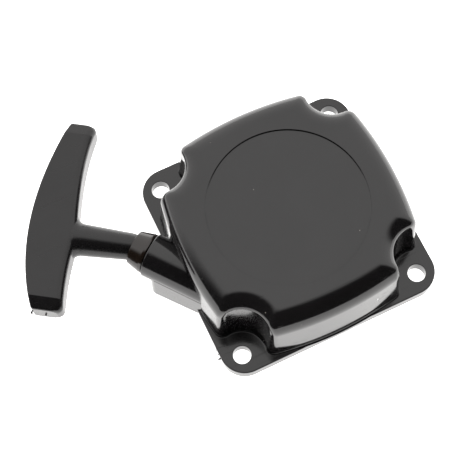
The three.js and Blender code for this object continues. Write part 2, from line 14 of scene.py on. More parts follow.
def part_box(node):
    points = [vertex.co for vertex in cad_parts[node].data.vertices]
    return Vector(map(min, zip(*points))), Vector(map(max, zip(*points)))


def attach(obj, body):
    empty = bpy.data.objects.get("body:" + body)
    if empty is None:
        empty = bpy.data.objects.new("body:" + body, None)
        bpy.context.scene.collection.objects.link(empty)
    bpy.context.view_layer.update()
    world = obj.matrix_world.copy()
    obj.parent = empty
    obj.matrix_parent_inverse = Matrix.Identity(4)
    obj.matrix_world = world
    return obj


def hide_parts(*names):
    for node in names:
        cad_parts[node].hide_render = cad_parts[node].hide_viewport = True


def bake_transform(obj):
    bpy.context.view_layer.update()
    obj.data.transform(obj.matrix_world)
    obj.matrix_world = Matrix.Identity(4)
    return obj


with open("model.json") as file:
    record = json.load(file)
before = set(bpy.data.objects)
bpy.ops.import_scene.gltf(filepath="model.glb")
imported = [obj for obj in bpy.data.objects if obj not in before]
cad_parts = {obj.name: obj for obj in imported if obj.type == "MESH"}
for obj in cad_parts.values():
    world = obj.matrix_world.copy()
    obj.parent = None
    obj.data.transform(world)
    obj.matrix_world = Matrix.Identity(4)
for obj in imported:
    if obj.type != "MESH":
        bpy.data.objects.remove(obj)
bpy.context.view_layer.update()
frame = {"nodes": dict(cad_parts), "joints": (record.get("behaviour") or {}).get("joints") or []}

bl_info = {
    "name": "Recoil starter",
    "version": (1, 0, 0),
    "blender": (4, 5, 0),
    "location": "3D View > Sidebar > Starter",
    "description": "Builds the moulded housing, T handle, reel, rope and ratchet of a recoil starter",
    "category": "Object",
}

MM = 0.001
FULL_TURN = 2 * math.pi
AXIS_Z = Vector((0, 0, 1))
GAP = 0.3 * MM  # left between pieces that fit together
OVERCUT = 1 * MM  # how far a cutter reaches past what it cuts
FINISH_PREFIX = "starter "  # keeps these materials apart from the CAD file's own


# ---- places read from the frame ----

def middle(node):
    """The middle of a CAD node's box."""
    low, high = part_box(node)
    return (low + high) / 2


def joint(name):
    """A joint's row in the frame."""
    return next(j for j in frame["joints"] if j["name"] == name)


CRANK = Vector((middle("reel").x, middle("reel").y, 0))
ROPE_HEIGHT = middle("rope_wound").z
MOUTH = Vector(joint("handle_swing")["pos_m"])
ROOF_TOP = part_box("housing")[1].z
PAWL_PIVOTS = [Vector(joint(name)["pos_m"]) for name in ("pawl_1_swing", "pawl_2_swing")]


# ---- sizes and colours that a user may change ----

def length(name, millimetres, description):
    """A length property, given in millimetres and kept in metres."""
    return bpy.props.FloatProperty(
        name=name, description=description, default=millimetres * MM, unit="LENGTH", precision=5)


def angle(name, degrees, description):
    """An angle property, given in degrees and kept in radians."""
    return bpy.props.FloatProperty(
        name=name, description=description, default=math.radians(degrees), subtype="ANGLE")


def colour(name, rgb, description):
    """A colour property."""
    return bpy.props.FloatVectorProperty(
        name=name, description=description, default=rgb, subtype="COLOR", size=3, min=0, max=1)


def share(name, value, description):
    """A property from 0 to 1."""
    return bpy.props.FloatProperty(
        name=name, description=description, default=value, min=0, max=1, subtype="FACTOR")


class HousingSizes(bpy.types.PropertyGroup):
    bolt_pitch: length("Bolt pitch", 67, "Distance between neighbouring bolt holes")
    hole_radius: length("Hole radius", 3.1, "Radius of the bolt holes")
    flange_side: length("Flange side", 81, "Side of the square flange")
    flange_thickness: length("Flange thickness", 5.2, "Thickness of the flange")
    flange_corner: length("Flange corner", 8.8, "Radius of the flange's corners")
    edge: length("Edge radius", 0.45, "Rounding of the flange's moulded edges")
    side_reach: length("Side reach", 40.3, "From the crank axis to the foot of each bowed side")
    side_bow: length("Side bow", 120, "Radius of the bowed sides in plan")
    shoulder: length("Shoulder radius", 7.8, "Rounding between the sides and the roof")
    draft: angle("Draft", 3, "Lean of the sides")
    hollow: length("Bolt hollow", 8.8, "Radius of the hollow round each bolt")
    hollow_shoulder: length("Hollow shoulder", 7.2, "Rounding between a hollow and the roof")
    hollow_trim: length("Hollow trim", 0.95, "How much of that rounding the wall cuts off, at a crease")
    lobe: length("Lobe radius", 2.6, "Rounding where a side meets a hollow")
    foot: length("Foot fillet", 0.8, "Fillet between the dome and the flange")
    label_radius: length("Label radius", 27.7, "Radius of the round label recess")
    label_depth: length("Label depth", 0.6, "Depth of the label recess")
    cavity: length("Cavity radius", 35.2, "Radius of the space for the reel")
    roof: length("Roof thickness", 2.4, "Thickness of the roof under the label")
    post: length("Post radius", 6.5, "Radius of the centre post")
    outlet_angle: angle("Outlet angle", 127.5, "Direction in which the rope leaves")
    boss: length("Boss radius", 7.8, "Radius of the rope outlet")
    boss_reach: length("Boss reach", 36.8, "Length of the rope outlet along the rope")
    bore: length("Boss bore", 5, "Radius of the seat of the rope guide")
    bore_depth: length("Bore depth", 9.3, "Depth of the seat of the rope guide")
    web_setback: length("Web setback", 2.6, "How far the web ends behind the outlet's face")
    web_corner: length("Web corner", 3, "Plan rounding of the web's corners")
    web_proud: length("Web overhang", 0.12, "How far the web stands out past the round boss")
    web_spread: length("Web spread", 0.6, "How much wider the web is at its foot")
    ring_radius: length("Guide radius", 7.2, "Radius of the rope guide where it meets the outlet")
    ring_tip: length("Guide tip radius", 6, "Radius of the rope guide at its mouth")
    ring_collar: length("Guide collar", 1.2, "Length of the guide's straight collar")
    wall: length("Wall", 2.2, "Thickness between the reel's space and the lightening hollows")
    lightening_reach: length("Hollow reach", 41.5, "From the crank axis to the hollows' outer side")
    lightening_depth: length("Hollow depth", 17, "Depth of the hollows in the underside")
    lightening_turn: angle("Hollow turn", 19.5, "Between a bolt and the hollows on its sides")
    lightening_spread: angle("Hollow spread", 5, "Half of the angle that a hollow takes up")


class HandleSizes(bpy.types.PropertyGroup):
    turn: angle("Handle turn", 18.6, "How far the handle is turned out of line with the outlet")
    nose: length("Nose radius", 4.5, "Radius of the ball end that sits in the guide")
    stem_tip: length("Stem tip radius", 4.75, "Stem radius at the guide")
    stem_root: length("Stem root radius", 5.6, "Stem radius at the grip")
    start: length("Grip start", 19.7, "From the guide's mouth to the finger side")
    reach: length("Grip reach", 36.7, "From the guide's mouth to the outer side")
    long_arm: length("Long arm", 41.2, "Length of the longer half of the grip")
    short_arm: length("Short arm", 27.8, "Length of the shorter half of the grip")
    thickness: length("Grip thickness", 11.6, "Thickness of the grip")
    edge: length("Finger edge", 2.6, "Rounding of the edges on the finger side")
    outer_edge: length("Outer edge", 0.6, "Rounding of the edges on the outer side")
    facet: length("End facet", 4.4, "Length of the slope on the faces at each end")
    facet_drop: length("End facet drop", 1.5, "How far each face slopes down at the ends")
    end_edge: length("End edge", 0.7, "Rounding between the slopes and the ends")
    corner: length("Grip corner", 2.6, "Plan rounding of the ends on the finger side")
    outer_corner: length("Outer grip corner", 0.7, "Plan rounding of the ends on the outer side")
    flare: length("Stem flare", 3, "Fillet between the stem and the grip")
    outer_bow: length("Outer bow", 6.6, "How far the outer side's control point lies past the reach")
    outer_shift: length("Outer bow shift", 1.5, "How far that control point lies off the stem's line")
    short_sweep: length("Short sweep", 6.3, "How far the outer side falls back at the shorter end")
    long_sweep: length("Long sweep", 7.3, "How far the outer side falls back at the longer end")
    short_bow: length("Short finger bow", 1.9, "Bow of the finger side on the shorter half")
    long_bow: length("Long finger bow", 4.0, "Bow of the finger side on the longer half")
    pocket: length("Knot pocket radius", 4.6, "Radius of the pocket for the rope's knot")
    pocket_depth: length("Knot pocket depth", 11, "Depth of the pocket for the rope's knot")


class WorksSizes(bpy.types.PropertyGroup):
    rope: length("Rope radius", 1.5, "Radius of the starter rope")
    rope_pitch: length("Braid pitch", 5.5, "Length of one turn of a braid strand")
    reel: length("Reel radius", 33, "Radius of the reel's flanges")
    reel_root: length("Reel root radius", 22, "Radius of the bottom of the rope groove")
    reel_core: length("Reel core radius", 20.6, "Radius of the reel's core under the groove")
    reel_bore: length("Reel bore radius", 6.9, "Radius of the reel's bearing")
    reel_hub: length("Reel hub radius", 9, "Radius of the reel's hub")
    drag_coil: length("Drag spring radius", 8, "Radius of the drag spring's coils")
    drag_wire: length("Drag spring wire", 0.9, "Thickness of the drag spring's wire")
    pawl_wire: length("Pawl spring wire", 0.5, "Thickness of the pawl springs' wire")
    pawl_length: length("Pawl length", 12, "From a pawl's pivot to the middle of its tip")
    pawl_hub: length("Pawl hub radius", 3.5, "Radius of the pawl round its pivot")
    pawl_angle: angle("Pawl angle", -118, "Direction of a pawl's arm at rest")
    pawl_swing: angle("Pawl swing", 32, "How far a pawl swings out")
    plate_turn: angle("Plate turn", 24, "How far the guide plate turns on the reel")
    plate: length("Guide plate radius", 10.8, "Radius of the guide plate")
    peg_reach: length("Peg reach", 6, "From a pawl's pivot to its peg")
    peg: length("Peg radius", 1.1, "Radius of a pawl's peg")
    pawl_tip: length("Pawl tip radius", 1.3, "Radius of a pawl's tip")
    pawl_thickness: length("Pawl thickness", 2.8, "Thickness of the pawls")
    post: length("Pivot post radius", 1.8, "Radius of the posts that the pawls turn on")
    washer_bore: length("Washer bore", 2.7, "Radius of the hole in the retaining washer")
    shank: length("Screw shank", 2.35, "Outer radius of the screw's thread")
    thread_pitch: length("Thread pitch", 1, "Pitch of the screw's thread")
    thread_depth: length("Thread depth", 0.32, "Depth of the screw's thread")
    turns: bpy.props.FloatProperty(
        name="Rope turns", description="Turns of rope on the reel at rest", default=4.75)


class Finishes(bpy.types.PropertyGroup):
    black: colour("Black plastic", (0.0080, 0.0074, 0.0078), "Housing and handle")
    # Guide plastic: near-black plastic whose brown tint is a painted reflection of a warm brownish
    # surrounding; the handle cap shares it
    guide: colour("Guide plastic", (0.011, 0.007, 0.005), "Rope guide and handle cap")
    reel: colour("Reel plastic", (0.62, 0.60, 0.54), "Natural nylon of the reel")
    steel: colour("Plated steel", (0.62, 0.60, 0.52), "Washer, plate, pawls and screw")
    spring: colour("Spring steel", (0.24, 0.25, 0.28), "Springs")
    brass: colour("Brass", (0.62, 0.42, 0.15), "Threaded insert")
    rope: colour("Rope", (0.72, 0.70, 0.64), "Nylon rope")
    fleck: colour("Rope tracer", (0.06, 0.06, 0.07), "Dark tracer strands in the rope")
    gloss: share("Moulding roughness", 0.09, "Roughness of the moulded plastic")
    satin: share("Handle satin", 0.13, "How much rougher the handle is than the housing")


class StageSizes(bpy.types.PropertyGroup):
    azimuth: angle("Camera azimuth", -21.35, "Turn of the camera about the vertical, 0 looks along +Y")
    elevation: angle("Camera elevation", 70.32, "Height of the camera above the horizon")
    roll: angle("Camera roll", -4.33, "Turn of the camera about its own axis")
    distance: length("Camera distance", 491.9, "From the camera to its target")
    target_x: length("Target X", 7.27, "Where the camera looks on the floor")
    target_y: length("Target Y", 0.025, "Where the camera looks on the floor")
    lens: bpy.props.FloatProperty(
        name="Lens", description="Focal length in millimetres on a 36 mm sensor", default=109.55)
    floor: colour("Floor", (0.9, 0.9, 0.9), "Pale floor")
    glow: bpy.props.FloatProperty(name="Floor glow", description="Light from below the floor", default=1.7)
    tent: bpy.props.FloatProperty(name="Tent", description="Brightness of the white tent", default=1.75)
    tent_end: angle("Tent end", -7, "From overhead, towards the camera, to where the tent starts to darken")
    dark_start: angle("Dark start", 12, "From overhead, towards the camera, to where the room is dark")
    dark: bpy.props.FloatProperty(name="Dark room", description="Brightness behind the camera", default=0.03)


# ---- outlines ----

def arc(centre, radius, start, end, steps):
    """Points on an arc in plan, without its end point."""
    centre = Vector(centre)
    turns = [start + (end - start) * i / steps for i in range(steps)]
    return [centre + radius * Vector((math.cos(t), math.sin(t))) for t in turns]


def rounded(corners, steps=6):
    """A closed outline through (x, y, radius) corners, each rounded by its radius."""
    points = []
    for i, (x, y, radius) in enumerate(corners):
        corner = Vector((x, y))
        if radius <= 0:
            points.append(corner)
            continue
        before = (Vector(corners[i - 1][:2]) - corner).normalized()
        after = (Vector(corners[(i + 1) % len(corners)][:2]) - corner).normalized()
        half = before.angle(after) / 2
        centre = corner + (before + after).normalized() * radius / math.sin(half)
        first = corner + before * radius / math.tan(half) - centre
        last = corner + after * radius / math.tan(half) - centre
        turn = first.angle_signed(last)
        for step in range(steps + 1):
            points.append(centre + Matrix.Rotation(-turn * step / steps, 2) @ first)
    return points


def circles_meet(centre_a, radius_a, centre_b, radius_b):
    """Where two circles meet; of the two points, the one clockwise from the line between their centres."""
    between = centre_b - centre_a
    distance = between.length
    reach = (distance ** 2 + radius_a ** 2 - radius_b ** 2) / (2 * distance)
    along = between / distance
    side = Vector((along.y, -along.x))
    return centre_a + along * reach + side * math.sqrt(radius_a ** 2 - reach ** 2)


def heading(point, centre):
    """The direction of a point from a centre, in plan."""
    return math.atan2(point.y - centre.y, point.x - centre.x)


def arm_outline(start, start_radius, end, end_radius, steps=14):
    """The tangent outline round two circles."""
    along = end - start
    tilt = math.acos((start_radius - end_radius) / along.length)
    turn = math.atan2(along.y, along.x)
    return (arc(start, start_radius, turn + tilt, turn + FULL_TURN - tilt, steps)
            + arc(end, end_radius, turn - tilt, turn + tilt, steps))


# ---- solids ----

def loop(bm, points):
    """A closed ring of edges through points."""
    verts = [bm.verts.new(p) for p in points]
    return [bm.edges.new(pair) for pair in zip(verts, verts[1:] + verts[:1])]


def skinned(rings):
    """A closed solid over a stack of rings, capped at both ends."""
    bm = bmesh.new()
    loops = [loop(bm, ring) for ring in rings]
    for lower, upper in zip(loops, loops[1:]):
        bmesh.ops.bridge_loops(bm, edges=lower + upper)
    for end in (loops[0], loops[-1]):
        bmesh.ops.edgeloop_fill(bm, edges=end)
    bmesh.ops.recalc_face_normals(bm, faces=bm.faces)
    return bm


def slab(outline, bottom, top, edge=0.0, segments=3):
    """A flat solid over an outline, with its top and bottom edges rounded."""
    bm = bmesh.new()
    face = bm.faces.new([bm.verts.new((x, y, bottom)) for x, y in outline])
    made = bmesh.ops.extrude_face_region(bm, geom=[face])["geom"]
    raised = [g for g in made if isinstance(g, bmesh.types.BMVert)]
    bmesh.ops.translate(bm, verts=raised, vec=(0, 0, top - bottom))
    bmesh.ops.recalc_face_normals(bm, faces=bm.faces)
    if edge:
        flat = [f for f in bm.faces if abs(f.normal.z) > 0.9]
        rims = list({e for f in flat for e in f.edges})
        bmesh.ops.bevel(bm, geom=rims, offset=edge, offset_type="OFFSET", segments=segments,
                        profile=0.5, affect="EDGES", material=-1)
    return bm


def spun(profile, steps=96):
    """A closed solid turned round Z from a profile of (radius, height) points."""
    bm = bmesh.new()
    verts = [bm.verts.new((radius, 0, height)) for radius, height in profile]
    pairs = list(zip(verts, verts[1:] + verts[:1]))
    on_axis = [pair for pair in pairs if pair[0].co.x < 1e-9 and pair[1].co.x < 1e-9]
    edges = [bm.edges.new(pair) for pair in pairs if pair not in on_axis]
    bmesh.ops.spin(bm, geom=verts + edges, cent=(0, 0, 0), axis=AXIS_Z, dvec=(0, 0, 0),
                   angle=FULL_TURN, steps=steps, use_merge=True, use_duplicate=False)
    bmesh.ops.remove_doubles(bm, verts=bm.verts, dist=1e-7)
    bmesh.ops.recalc_face_normals(bm, faces=bm.faces)
    return bm


def coil(radius, wire, bottom, top, turns, steps=36, sides=10):
    """A round wire wound into a helix about Z, with flat ends."""
    bm = bmesh.new()
    turn = Matrix.Translation((radius, 0, bottom)) @ Matrix.Rotation(math.pi / 2, 4, "X")
    made = bmesh.ops.create_circle(bm, cap_ends=True, segments=sides, radius=wire / 2, matrix=turn)
    geom = made["verts"] + list(bm.edges) + list(bm.faces)
    count = round(steps * turns)
    bmesh.ops.spin(bm, geom=geom, cent=(0, 0, 0), axis=AXIS_Z, dvec=(0, 0, (top - bottom) / count),
                   angle=FULL_TURN * turns, steps=count, use_merge=False, use_duplicate=False)
    bmesh.ops.recalc_face_normals(bm, faces=bm.faces)
    return bm


def along_x(bm):
    """Turns a solid from the Z axis on to the X axis."""
    bmesh.ops.rotate(bm, verts=bm.verts, cent=(0, 0, 0), matrix=Matrix.Rotation(math.pi / 2, 3, "Y"))
    return bm


def moved(bm, x=0.0, y=0.0, z=0.0):
    """Shifts a solid."""
    bmesh.ops.translate(bm, verts=bm.verts, vec=(x, y, z))
    return bm


def cylinder(radius, bottom, top, steps=48):
    """An upright cylinder on the Z axis."""
    return spun([(0, bottom), (radius, bottom), (radius, top), (0, top)], steps)


def as_object(name, bm):
    """An object that holds a solid, with its place in its mesh."""
    mesh = bpy.data.meshes.new(name)
    bm.to_mesh(mesh)
    bm.free()
    piece = bpy.data.objects.new(name, mesh)
    bpy.context.scene.collection.objects.link(piece)
    return piece


def baked(piece):
    """Applies a piece's modifiers to its mesh."""
    depsgraph = bpy.context.evaluated_depsgraph_get()
    depsgraph.update()
    old = piece.data
    piece.data = bpy.data.meshes.new_from_object(piece.evaluated_get(depsgraph))
    piece.modifiers.clear()
    bpy.data.meshes.remove(old)
    piece.data.name = piece.name
    return piece


def combined(piece, operation, *solids):
    """Joins solids to a piece, or cuts them out of it."""
    for bm in solids:
        tool = as_object("tool", bm)
        step = piece.modifiers.new("boolean", "BOOLEAN")
        step.operation = operation
        step.solver = "EXACT"
        step.object = tool
        baked(piece)
        mesh = tool.data
        bpy.data.objects.remove(tool)
        bpy.data.meshes.remove(mesh)
    return piece


def placed(piece, matrix):
    """Puts a finished piece in the row frame."""
    piece.data.transform(matrix)
    return piece


def finished(piece, material, body, slot, *nodes, sharp=32):
    """Shades a piece, gives it its material and body, and lets it stand for CAD nodes."""
    mesh = piece.data
    mesh.materials.clear()
    mesh.materials.append(material)
    mesh.shade_smooth()
    mesh.set_sharp_from_angle(angle=math.radians(sharp))
    weighted = piece.modifiers.new("weighted_normals", "WEIGHTED_NORMAL")
    weighted.keep_sharp = True
    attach(piece, body)
    if nodes:
        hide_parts(*nodes)
    return piece


def round_crank():
    """The frame of pieces that are made round the crank axis."""
    return Matrix.Translation(CRANK)


def at_outlet(sizes):
    """The outlet's own frame: +X along the rope, from the foot of the crank axis' perpendicular."""
    turn = Matrix.Rotation(sizes.outlet_angle, 4, "Z")
    from_crank = turn.inverted() @ (MOUTH - CRANK)
    return round_crank() @ turn @ Matrix.Translation((0, from_crank.y, ROPE_HEIGHT))


def at_mouth(housing, handle):
    """The handle's own frame: +X out along the stem from the guide's mouth."""
    return Matrix.Translation(MOUTH) @ Matrix.Rotation(housing.outlet_angle + handle.turn, 4, "Z")


# ---- materials ----

class Shader:
    """A Principled material whose nodes read the piece's own coordinates in millimetres."""

    def __init__(self, name, base, roughness, metallic=0.0, specular=0.5):
        self.material = bpy.data.materials.new(FINISH_PREFIX + name)
        self.material.use_nodes = True
        self.nodes = self.material.node_tree.nodes
        self.links = self.material.node_tree.links
        self.surface = self.nodes["Principled BSDF"]
        self.set("Base Color", (*base, 1))
        self.set("Roughness", roughness)
        self.set("Metallic", metallic)
        self.set("Specular IOR Level", specular)
        coordinates = self.nodes.new("ShaderNodeTexCoord")
        self.object = self.add("ShaderNodeMapping", Vector=coordinates.outputs["Object"])
        self.object.inputs["Scale"].default_value = (1 / MM,) * 3

    def set(self, socket, value):
        self.surface.inputs[socket].default_value = value

    def add(self, kind, settings=None, **inputs):
        """A node, its settings, and its inputs by name: a socket is linked, a value is set."""
        node = self.nodes.new(kind)
        for key, value in (settings or {}).items():
            setattr(node, key, value)
        for key, value in inputs.items():
            index = int(key[1:]) if key[0] == "_" else key.replace("_", " ")
            self.join(value, node.inputs[index])
        return node

    def join(self, value, socket):
        if isinstance(value, bpy.types.Node):
            value = value.outputs[0]
        if isinstance(value, bpy.types.NodeSocket):
            self.links.new(value, socket)
        else:
            socket.default_value = value

    def noise(self, scale, detail=3.0, stretch=None):
        """Noise with scale features per millimetre."""
        vector = self.object
        if stretch:
            vector = self.add("ShaderNodeMapping", Vector=self.object, Rotation=stretch[0], Scale=stretch[1])
        return self.add("ShaderNodeTexNoise", Vector=vector, Scale=scale, Detail=detail).outputs["Fac"]

    def ranged(self, value, low, high, to_low, to_high, smooth=False):
        """A value mapped from one range on to another."""
        settings = {"interpolation_type": "SMOOTHSTEP"} if smooth else None
        node = self.add("ShaderNodeMapRange", settings, Value=value)
        limits = {"From Min": low, "From Max": high, "To Min": to_low, "To Max": to_high}
        for key, limit in limits.items():
            node.inputs[key].default_value = limit
        return node.outputs["Result"]

    def maths(self, operation, first, second=0.0):
        return self.add("ShaderNodeMath", {"operation": operation}, _0=first, _1=second).outputs[0]

    def tint(self, amount, base, other):
        """A base colour that changes to another by a varying amount."""
        node = self.add("ShaderNodeMix", {"data_type": "RGBA"}, Factor=amount)
        node.inputs["A"].default_value = (*base, 1)
        node.inputs["B"].default_value = (*other, 1)
        return node.outputs["Result"]

    def bump(self, height, distance, strength=1.0, under=None):
        """Relief on the surface, over an earlier bump if one is given."""
        node = self.add("ShaderNodeBump", Height=height, Distance=distance, Strength=strength)
        if under is not None:
            self.join(under.outputs["Normal"], node.inputs["Normal"])
        self.links.new(node.outputs["Normal"], self.surface.inputs["Normal"])
        return node


def scaled(rgb, factor):
    return tuple(min(1.0, c * factor) for c in rgb)


def moulded_plastic(name, base, roughness, specular=0.5, scratches=1.0, dust=1.0):
    """Dark moulded plastic: flow marks, a fine satin grain, hairline scratches and a few dust specks."""
    s = Shader(name, base, roughness, specular=specular)
    flow = s.noise(0.06, 4)
    specks = s.add("ShaderNodeTexVoronoi", {"feature": "F1"}, Vector=s.object, Scale=0.19)
    speck = s.ranged(specks.outputs["Distance"], 0.028, 0.04, dust, 0)
    sparse = s.ranged(s.noise(0.045, 0), 0.52, 0.56, 0, 1)
    dusty = s.maths("MULTIPLY", speck, sparse)
    tone = s.tint(s.ranged(flow, 0.3, 0.7, 0, 1), scaled(base, 0.85), scaled(base, 1.25))
    mix = s.add("ShaderNodeMix", {"data_type": "RGBA"}, Factor=dusty, A=tone)
    mix.inputs["B"].default_value = (0.4, 0.38, 0.34, 1)
    s.join(mix.outputs["Result"], s.surface.inputs["Base Color"])
    scuff = s.ranged(s.noise(0.22, 5), 0.35, 0.7, 0, 0.05)
    lines = []
    for turn in (0.5, -0.9):
        fibre = s.noise(1.0, 1, ((0, 0, turn), (0.02, 1.6, 1.6)))
        lines.append(s.ranged(fibre, 0.70, 0.74, 0, 1))
    line = s.maths("MULTIPLY", s.maths("MAXIMUM", *lines), scratches)
    rough = s.maths("ADD", scuff, s.maths("MULTIPLY", line, 0.12))
    s.join(s.maths("ADD", rough, roughness), s.surface.inputs["Roughness"])
    waves = s.bump(s.noise(0.09, 2), 0.05 * MM, 0.5)
    grain = s.bump(s.noise(2.6, 3), 0.003 * MM, 0.5, waves)
    s.bump(line, -0.01 * MM, 0.7, grain)
    return s.material


def nylon(name, base):
    """Natural moulded nylon, slightly cloudy and waxy."""
    s = Shader(name, base, 0.42)
    s.set("Subsurface Weight", 0.12)
    s.set("Subsurface Radius", (2 * MM, 1.6 * MM, 1.2 * MM))
    s.set("Subsurface Scale", 1.0)
    cloud = s.ranged(s.noise(0.12, 4), 0.3, 0.7, 0, 1)
    s.join(s.tint(cloud, scaled(base, 0.88), scaled(base, 1.08)), s.surface.inputs["Base Color"])
    s.join(s.ranged(s.noise(0.5, 4), 0.3, 0.7, 0.34, 0.5), s.surface.inputs["Roughness"])
    s.bump(s.noise(1.4, 3), 0.02 * MM, 0.5)
    return s.material


def metal(name, base, roughness, brushed=0.0):
    """Plated or plain metal with fine handling marks."""
    s = Shader(name, base, roughness, metallic=1.0)
    stain = s.ranged(s.noise(0.3, 5), 0.35, 0.7, 0, 1)
    s.join(s.tint(stain, scaled(base, 1.06), scaled(base, 0.78)), s.surface.inputs["Base Color"])
    rough = s.ranged(s.noise(0.9, 4), 0.3, 0.75, roughness * 0.75, roughness * 1.5)
    s.join(rough, s.surface.inputs["Roughness"])
    grain = s.noise(1.0, 2, ((0, 0, 0.3), (0.2, 5, 5))) if brushed else s.noise(2.2, 3)
    s.bump(grain, 0.008 * MM, 0.5 + brushed)
    return s.material


def braided_rope(name, base, tracer):
    """A round braid: strands cross each way along the piece's own 'lay' of angle and length."""
    s = Shader(name, base, 0.62)
    s.set("Sheen Weight", 0.25)
    lay = s.add("ShaderNodeAttribute", {"attribute_name": "lay"})
    parts = s.add("ShaderNodeSeparateXYZ", Vector=lay.outputs["Vector"])
    around = s.maths("ARCTAN2", parts.outputs["Y"], parts.outputs["X"])
    run = s.maths("MULTIPLY", parts.outputs["Z"], FULL_TURN)
    strands = 8
    waves = []
    for hand in (1, -1):
        phase = s.maths("ADD", s.maths("MULTIPLY", around, strands / 2), s.maths("MULTIPLY", run, 2 * hand))
        waves.append(s.maths("COSINE", phase))
    weave = s.maths("MULTIPLY", *waves)
    height = s.maths("MAXIMUM", s.maths("ABSOLUTE", waves[0]), s.maths("ABSOLUTE", waves[1]))
    crossing = s.ranged(weave, -0.5, 0.5, 0, 1, smooth=True)
    # painted shade: the braid's colour darkens to 0.72 of the base where the strands dip, the same places
    # that the bump below lowers
    tone = s.tint(crossing, scaled(base, 0.72), scaled(base, 1.05))
    phase = s.maths("ADD", around, run)
    mark = s.ranged(s.maths("COSINE", phase), 0.9, 0.96, 0, 0.85)
    mix = s.add("ShaderNodeMix", {"data_type": "RGBA"}, Factor=s.maths("MULTIPLY", mark, crossing), A=tone)
    mix.inputs["B"].default_value = (*tracer, 1)
    s.join(mix.outputs["Result"], s.surface.inputs["Base Color"])
    fuzz = s.bump(s.noise(3.0, 3), 0.03 * MM, 0.5)
    s.bump(s.maths("ADD", height, crossing), 0.16 * MM, 0.9, fuzz)
    return s.material


def knotted_rope(name, base):
    """Rope pulled into a knot, where the braid has no one direction."""
    s = Shader(name, base, 0.68)
    cells = s.add("ShaderNodeTexVoronoi", {"feature": "F1"}, Vector=s.object, Scale=1.1)
    strand = cells.outputs["Distance"]
    # painted shade: the colour darkens towards the cell edges, where the bump sinks between the strands
    tone = s.tint(s.ranged(strand, 0.1, 0.7, 0, 1), base, scaled(base, 0.55))
    s.join(tone, s.surface.inputs["Base Color"])
    s.bump(strand, -0.2 * MM, 0.8)
    return s.material


def floor_material(base, glow):
    """A pale table lit from below, which can't be seen from below."""
    s = Shader("floor", base, 0.75, specular=0.2)
    s.set("Emission Color", (1.0, 0.99, 0.98, 1))
    s.set("Emission Strength", glow)
    s.join(s.tint(s.ranged(s.noise(0.02, 2), 0.3, 0.7, 0, 1), base, scaled(base, 0.985)),
           s.surface.inputs["Base Color"])
    below = s.nodes.new("ShaderNodeNewGeometry").outputs["Backfacing"]
    s.join(s.maths("SUBTRACT", 1.0, below), s.surface.inputs["Alpha"])
    return s.material


def material(name):
    """A finish made by MakeFinishes."""
    return bpy.data.materials[FINISH_PREFIX + name]


# ---- operators: one for each piece or group of like pieces ----

class MakeFinishes(bpy.types.Operator):
    """Make the materials of every piece"""
    bl_idname = "starter.finishes"
    bl_label = "Finishes"
    bl_options = {"REGISTER", "UNDO"}

    def execute(self, context):
        scene = context.scene
        f = scene.starter_finishes
        moulded_plastic("black_plastic", tuple(f.black), f.gloss)
        moulded_plastic("handle_plastic", tuple(f.black), f.gloss + f.satin, specular=0.4,
                        scratches=0.6, dust=0)
        # guide plastic: near black, with a brown tint in its base colour that is a painted reflection
        moulded_plastic("guide_plastic", tuple(f.guide), f.gloss, scratches=0.3, dust=0)
        nylon("reel_nylon", tuple(f.reel))
        metal("plated_steel", tuple(f.steel), 0.28)
        metal("spring_steel", tuple(f.spring), 0.3, brushed=0.4)
        metal("insert_brass", tuple(f.brass), 0.32)
        braided_rope("rope_braid", tuple(f.rope), tuple(f.fleck))
        knotted_rope("rope_knot", tuple(f.rope))
        return {"FINISHED"}


